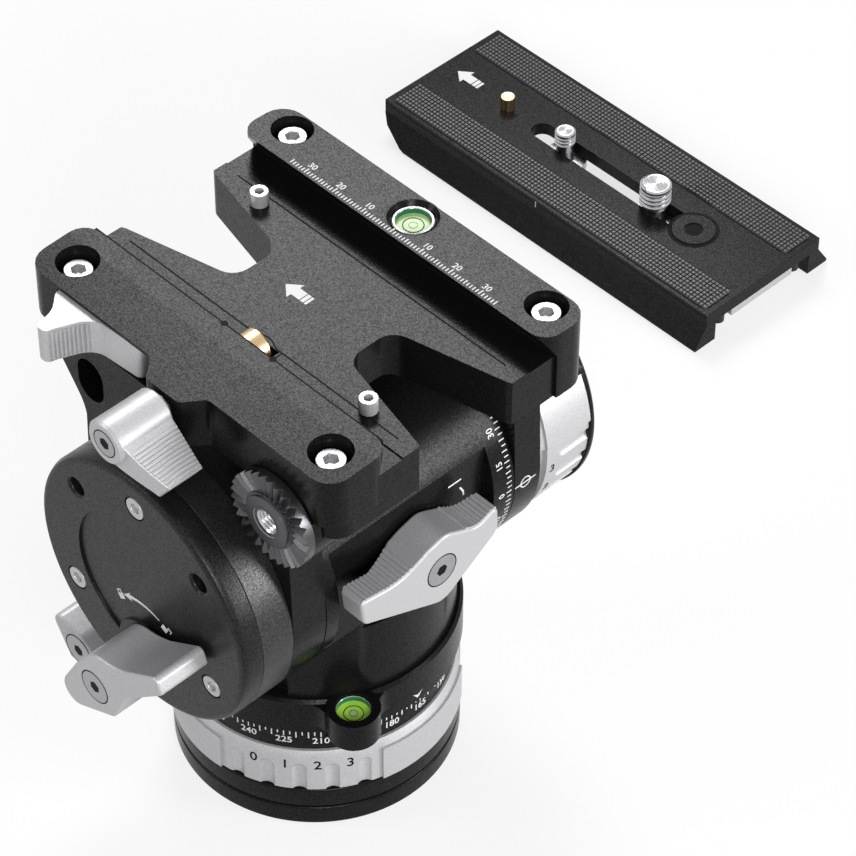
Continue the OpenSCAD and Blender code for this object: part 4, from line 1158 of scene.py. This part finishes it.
@dataclass
class Marks:
    """White and black marks filled into the surfaces.

    Attributes:
        shop: Workshop that makes the pieces.
        rise: Half of a mark's thickness.
        line: Width of a fine line.
    """

    shop: Workshop
    rise: float = 0.05
    line: float = 0.32

    def patch(self, bm: Mesh, low: Point, high: Point, z: float = 0.0) -> None:
        """Add a flat oblong between two corners."""
        Forms.block(bm, (*low, z - self.rise), (*high, z + self.rise))

    def arrow(self, length: float, half: float) -> Mesh:
        """Arrow along +Y with two bars at its tail, its tip at the origin.

        Args:
            length: Length over all.
            half: Half width of the head.

        Returns:
            The flat arrow.
        """
        bm = bmesh.new()
        neck, end, shaft = -length * 0.4, -length * 0.72, half * 0.5
        Forms.plate(bm, [
            (0, 0), (-half, neck), (-shaft, neck), (-shaft, end), (shaft, end), (shaft, neck), (half, neck)],
            2 * self.rise)
        for low, high in ((0.88, 0.755), (1.0, 0.915)):
            self.patch(bm, (-shaft, -length * low), (shaft, -length * high))
        return bm

    def ruler(self) -> None:
        """Millimetre ruler on the right rail."""
        bm = bmesh.new()
        inner, label_x, half = 27.15, 30.2, 0.17
        for k in range(-35, 36):
            reach = 1.75 if k % 10 == 0 else 1.5 if k % 5 == 0 else 1.2
            self.patch(bm, (inner, k - half), (inner + reach, k + half), RAIL_TOP)
        for k in (-30, -20, -10, 10, 20, 30):
            label = Forms.letters(str(abs(k)), 1.75, self.rise)
            Forms.join(bm, Forms.lay(label, (label_x, k, RAIL_TOP), (0, -1, 0), (1, 0, 0)))
        self.shop.piece("ruler_marks", bm, WHITE, "cradle")

    def pan_scale(self) -> None:
        """Degree scale round the fixed ring, and the index on the skirt."""
        bm = bmesh.new()
        r, zero = 36.0, 259.6
        for k in range(144):
            low = -1.2 if k % 2 else -2.2 if k % 6 else -1.7
            tick = bmesh.new()
            self.patch(tick, (-self.line / 2, low), (self.line / 2, 1.6))
            Forms.join(bm, Forms.wrap(tick, Round.PAN, r, zero + 2.5 * k, 34.4))
        for k in range(24):
            label = Forms.letters(str((180 - 15 * k) % 360), 2.1, self.rise)
            Forms.join(bm, Forms.wrap(label, Round.PAN, r, zero + 15 * k, 31.2))
        self.shop.piece("pan_scale_marks", bm, WHITE, "base")
        index = bmesh.new()
        Forms.plate(index, [(0, -1.2), (1.7, 0.8), (0.1, -0.1), (-1.5, 0.7)], 2 * self.rise)
        Forms.wrap(index, Round.PAN, SKIRT_R, 270.0, 39.0)
        self.shop.piece("pan_index_mark", index, WHITE, "turning_body")

    def drag_figures(self) -> None:
        """Black figures of both drag dials."""
        pan, tilt = bmesh.new(), bmesh.new()
        for k in range(4):
            figure = Forms.letters(str(k), 3.1, self.rise)
            Forms.join(pan, Forms.wrap(figure, Round.PAN, PAN_RING_R, 202.4 + FIGURE_STEP * k, 23.3))
            figure = Forms.letters(str(k), 2.6, self.rise)
            Forms.join(tilt, Forms.wrap(figure, Round.TILT, TILT_KNOB_R, -7.8 - FIGURE_STEP * (3 - k), 48.5))
        self.shop.piece("pan_drag_figures", pan, INK, "pan_ring", Slot.SILVER)
        self.shop.piece("tilt_drag_figures", tilt, INK, "tilt_knob", Slot.SILVER)

    def tilt_scale(self) -> None:
        """Degree scale on the barrel's end, and its index on the right arm."""
        bm = bmesh.new()
        r, zero = 37.0, -1.2
        quarter = Matrix.Rotation(math.pi / 2, 4, "Z")
        for k in range(-16, 37):
            start = -0.8 if k % 2 == 0 else -0.4
            tick = bmesh.new()
            self.patch(tick, (start, -self.line / 2), (0.9, self.line / 2))
            Forms.join(bm, Forms.wrap(tick, Round.TILT, r, zero + 2.5 * k, 32.0))
        for degrees in (-30, -15, 0, 15, 30, 45, 60, 75, 90):
            label = Forms.letters(str(abs(degrees)), 1.9, self.rise)
            label.transform(quarter)
            Forms.join(bm, Forms.wrap(label, Round.TILT, r, zero + degrees, 29.5))
        self.shop.piece("tilt_scale_marks", bm, WHITE, "turning_body")
        index = bmesh.new()
        self.patch(index, (-3.6, -0.2), (3.6, 0.2))
        ring = [(1.45, -self.rise), (1.8, -self.rise), (1.8, self.rise), (1.45, self.rise)]
        Forms.join(index, Forms.turned(ring + ring[:1], 28))
        Forms.wrap(index, Round.TILT, r, zero - 0.9, 37.8)
        self.shop.piece("tilt_index_mark", index, WHITE, "cradle")

    def flat_sign(self) -> None:
        """Line and small hook on the barrel's flat."""
        bm = bmesh.new()
        self.patch(bm, (14.6, 99.2), (18.9, 99.7))
        hook = [(18.3, 96.7), (18.8, 96.8), (19.9, 94.8), (20.1, 93.3), (19.6, 93.2), (19.4, 94.6)]
        Forms.plate(bm, hook, 2 * self.rise)
        Forms.lay(bm, (0, -33.4, 0), *REAR)
        self.shop.piece("balance_sign", bm, WHITE, "turning_body")

    def padlock(self, shackle: float) -> Mesh:
        """Sign of a padlock about its own middle.

        Args:
            shackle: Sideways shift of the shackle: 0 when it is shut.

        Returns:
            The flat sign.
        """
        bm = bmesh.new()
        self.patch(bm, (-1.05, -1.5), (1.05, 0.2))
        for x in (shackle - 0.62, shackle + 0.62):
            self.patch(bm, (x - 0.16, 0.1), (x + 0.16, 1.1))
        self.patch(bm, (shackle - 0.78, 1.0), (shackle + 0.78, 1.35))
        return bm

    def lock_signs(self) -> None:
        """Padlocks and curved arrow on the end disc's panel."""
        bm = bmesh.new()
        r, face = 16.4, -54.8
        for angle, shackle in ((58.2, 0.0), (118.0, -1.3)):
            y, z = polar(r, angle)
            sign = self.padlock(shackle)
            Forms.join(bm, Forms.lay(sign, (face, y, TILT_LOCK_Z + z), *turned_side(angle - 90)))
        start, bend, steps = 110.0, 38.0, 12
        outer, inner = [], []
        for k in range(steps + 1):
            half = 0.12 + 0.4 * k / steps
            outer.append(polar(r + half, start - bend * k / steps))
            inner.append(polar(r - half, start - bend * k / steps))
        neck, tip, wide = 73.5, 63.0, 1.25
        head = [polar(r + wide, neck), polar(r, tip), polar(r - wide, neck)]
        sweep = bmesh.new()
        Forms.plate(sweep, outer + head + inner[::-1], 2 * self.rise)
        Forms.join(bm, Forms.lay(sweep, (face, 0, TILT_LOCK_Z), *SIDE))
        self.shop.piece("lock_signs", bm, WHITE, "cradle")

    def arrows(self) -> None:
        """Arrows on the platform's floor and on the plate, and the plate's side tick."""
        floor = self.arrow(8.6, 2.9)
        Forms.lay(floor, (CHANNEL_X, 9.4, FLOOR_Z), *TOP)
        self.shop.piece("platform_arrow", floor, WHITE, "cradle")
        plate = self.arrow(10.0, 3.2)
        Forms.lay(plate, (PLATE_X + 1.1, PLATE_Y + 61.2, PLATE_TOP), *TOP)
        x = PLATE_X - PLATE_HALF
        Forms.block(plate, (x - 0.05, PLATE_Y + 2.2, 9.2), (x + 0.05, PLATE_Y + 2.6, 11.2))
        self.shop.piece("plate_marks", plate, WHITE, "plate")

    def build(self) -> None:
        """Make all marks."""
        self.ruler()
        self.pan_scale()
        self.drag_figures()
        self.tilt_scale()
        self.flat_sign()
        self.lock_signs()
        self.arrows()


@dataclass
class CameraPlate:
    """Plate with its knurled strips, screws, pin and cap.

    Attributes:
        shop: Workshop that makes the pieces.
        half: Half length of the plate.
        strip: Inner and outer edge of a strip.
        strip_half: Half length of a strip.
        pitch: Pitch of the knurl.
        corner: Radius of a strip's corners.
        border: Width of the dark bed that shows round a strip.
    """

    shop: Workshop
    half: float = 67.0
    strip: Point = (11.8, 22.6)
    strip_half: float = 64.6
    pitch: float = 1.35
    corner: float = 1.8
    border: float = 0.45

    def knurl(self) -> None:
        """Rubber strips covered in small flat-topped pyramids, each in a dark bed with round corners."""
        strips, beds = bmesh.new(), bmesh.new()
        width, length = self.strip[1] - self.strip[0], 2 * self.strip_half
        halves = (width / 2, length / 2)
        inset, height, lift, skirt_h, bed_r = 0.4, 0.45, 0.12, 0.3, 2.2
        for side in (-1, 1):
            one = bmesh.new()
            bmesh.ops.create_grid(
                one, x_segments=round(width / self.pitch), y_segments=round(length / self.pitch), size=0.5)
            bmesh.ops.scale(one, verts=one.verts, vec=(width, length, 1))
            cut = []
            for f in one.faces:
                over = [abs(c) - half + self.corner for c, half in zip(f.calc_center_median(), halves)]
                if min(over) > 0 and math.hypot(*over) > self.corner:
                    cut.append(f)
            bmesh.ops.delete(one, geom=cut, context="FACES")
            rim = [e for e in one.edges if e.is_boundary]
            bmesh.ops.inset_individual(one, faces=one.faces[:], thickness=inset, depth=height)
            skirt = bmesh.ops.extrude_edge_only(one, edges=rim)
            low = [v for v in skirt["geom"] if isinstance(v, bmesh.types.BMVert)]
            bmesh.ops.translate(one, verts=low, vec=(0, 0, -skirt_h))
            middle = Vector((PLATE_X + side * (self.strip[0] + self.strip[1]) / 2, PLATE_Y, PLATE_TOP))
            Forms.move(one, middle + Vector((0, 0, lift)))
            Forms.join(strips, one)
            bed = bmesh.new()
            a, b = (half + self.border for half in halves)
            corners = [(a, b, bed_r), (-a, b, bed_r), (-a, -b, bed_r), (a, -b, bed_r)]
            Forms.plate(bed, Forms.rounded(corners, 6), 0.1)
            Forms.move(bed, middle)
            Forms.join(beds, bed)
        thing = self.shop.piece("grip_strips", strips, RUBBER, "plate", smooth=20)
        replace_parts(thing, "grip_pads")
        self.shop.piece("grip_beds", beds, INK, "plate")

    def body(self) -> None:
        """Make the plate itself, with its sloped front foot, and a thin black line of painted shade along
        each side that stands in for the shaded crease there.
        """
        rise, run = 5.5, 12.3
        bm = self.shop.copy("camera_plate")
        front = PLATE_Y + self.half
        Forms.cut(bm, (0, front, rise), (0, rise, -run), clear=True)
        self.shop.stand_in("camera_plate", bm, BLACK, 0.6)
        # Painted shade: thin black strips along both sides stand in for the shaded crease under the top edge.
        side_shade = bmesh.new()
        for x in (PLATE_X - PLATE_HALF, PLATE_X + PLATE_HALF):
            Forms.block(side_shade, (x - 0.05, PLATE_Y - self.half + 0.4, 10.2), (x + 0.05, front - 0.4, 10.42))
        self.shop.piece("plate_side_shade_lines", side_shade, INK, "plate")

    def screw(self, node: str, y: float, r: float, rise: float, pitch: float) -> None:
        """Threaded camera screw in place of a plain one.

        Args:
            node: Solid node that it replaces.
            y: Place along the plate.
            r: Thread radius.
            rise: Height of its tip over the plate.
            pitch: Thread pitch.
        """
        collar, neck, root, edge = 6.9, 2.7, r - pitch * 0.45, r - 0.1
        top, tip = PLATE_TOP, PLATE_TOP + rise
        turns = math.floor((rise - 1.2) / pitch * 2) / 2
        bm = Forms.helix(r, pitch, turns)
        Forms.move(bm, (0, 0, top + 0.3))
        core = [
            (0, top - 7.0), (collar, top - 7.0), (collar, top - 4.5), (neck, top - 4.4), (neck, top),
            (root, top + 0.3), (root, tip - 1.3), (edge, tip - 1.1), (edge, tip - 0.45), (r - 0.5, tip - 0.1)]
        Forms.join(bm, Forms.turned(core + self.turned_end(r - 0.9, tip)))
        Forms.move(bm, (PLATE_X, PLATE_Y + y, 0))
        thing = self.shop.piece(node + "_threaded", bm, STEEL, self.shop.bodies[node])
        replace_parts(thing, node)

    @staticmethod
    def turned_end(r: float, z: float) -> Outline:
        """Profile of a turned end: fine rings from a radius to the middle.

        Args:
            r: Radius of the outer ring.
            z: Height of the end.

        Returns:
            Points of radius and height.
        """
        count = 2 * round(r / 0.5)
        return [(r * (1 - k / count), z - 0.07 * (k % 2)) for k in range(count)] + [(0, z)]

    def cap(self) -> None:
        """Cap with a hex hole, in a black ring of painted shadow where its clearance to the plate is dark,
        and with its hex hole filled black as painted shade.
        """
        x, y, top = PLATE_X, PLATE_Y - 39.0, PLATE_TOP
        key, r = 2.7, 6.7
        lid = Forms.turned([
            (key, top - 0.3), (key, top + 0.2), (key + 0.2, top + 0.4), (r - 0.3, top + 0.4), (r, top + 0.2),
            (r, top - 0.3)], place=(x, y, 0))
        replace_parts(self.shop.piece("plate_cap_lid", lid, BLACK, "plate"), "plate_cap")
        # Painted shadow round the cap, and painted shade in its hex hole.
        ring = [(r - 0.1, top), (r - 0.1, top + 0.06), (r + 1, top + 0.06), (r + 1, top)]
        dark = Forms.turned(ring + ring[:1], place=(x, y, 0))
        Forms.bar(dark, Vector((x, y, top - 0.2)), Vector((x, y, top + 0.1)), key + 0.05, sides=6)
        self.shop.piece("plate_cap_shade", dark, INK, "plate")

    def pin(self) -> None:
        """Brass video pin with a turned end."""
        r, top = 1.7, 16.2
        self.shop.softened("video_pin", BRASS, 0.35)
        end = [(r, top - 0.2)] + self.turned_end(r, top + 0.05)
        bm = Forms.turned(end, 32, (PLATE_X, PLATE_Y + 38.4, 0))
        self.shop.piece("video_pin_end", bm, BRASS, "pin")

    def build(self) -> None:
        """Make the plate's pieces."""
        self.body()
        self.knurl()
        self.screw("quarter_screw", 14.0, 3.175, 6.0, 1.27)
        self.screw("three_eighth_screw", -23.3, 4.7625, 8.4, 1.5875)
        self.cap()
        self.pin()


def main() -> None:
    """Build the studio, dress the solids and add every fine piece."""
    logging.basicConfig(level=logging.INFO, format="%(name)s: %(message)s")
    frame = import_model()
    bodies = {node: body for body, nodes in frame["record"]["behaviour"]["bodies"].items() for node in nodes}
    shop = Workshop(frame["nodes"], bodies)
    finishes = {
        Slot.BLACK: BLACK, Slot.SILVER: SILVER, Slot.STEEL: STEEL, Slot.BRASS: BRASS, Slot.VIAL: LIME,
        Slot.RUBBER: RUBBER, Slot.PLASTIC: PLASTIC}
    for part in frame["record"]["subparts"]:
        shop.dress(part["node"], finishes[Slot(part["material_slot"])])
    Studio().build()
    for group in (Casework(shop), Levers(shop), Levels(shop), Marks(shop), CameraPlate(shop)):
        group.build()


if __name__ == "__main__":
    main()
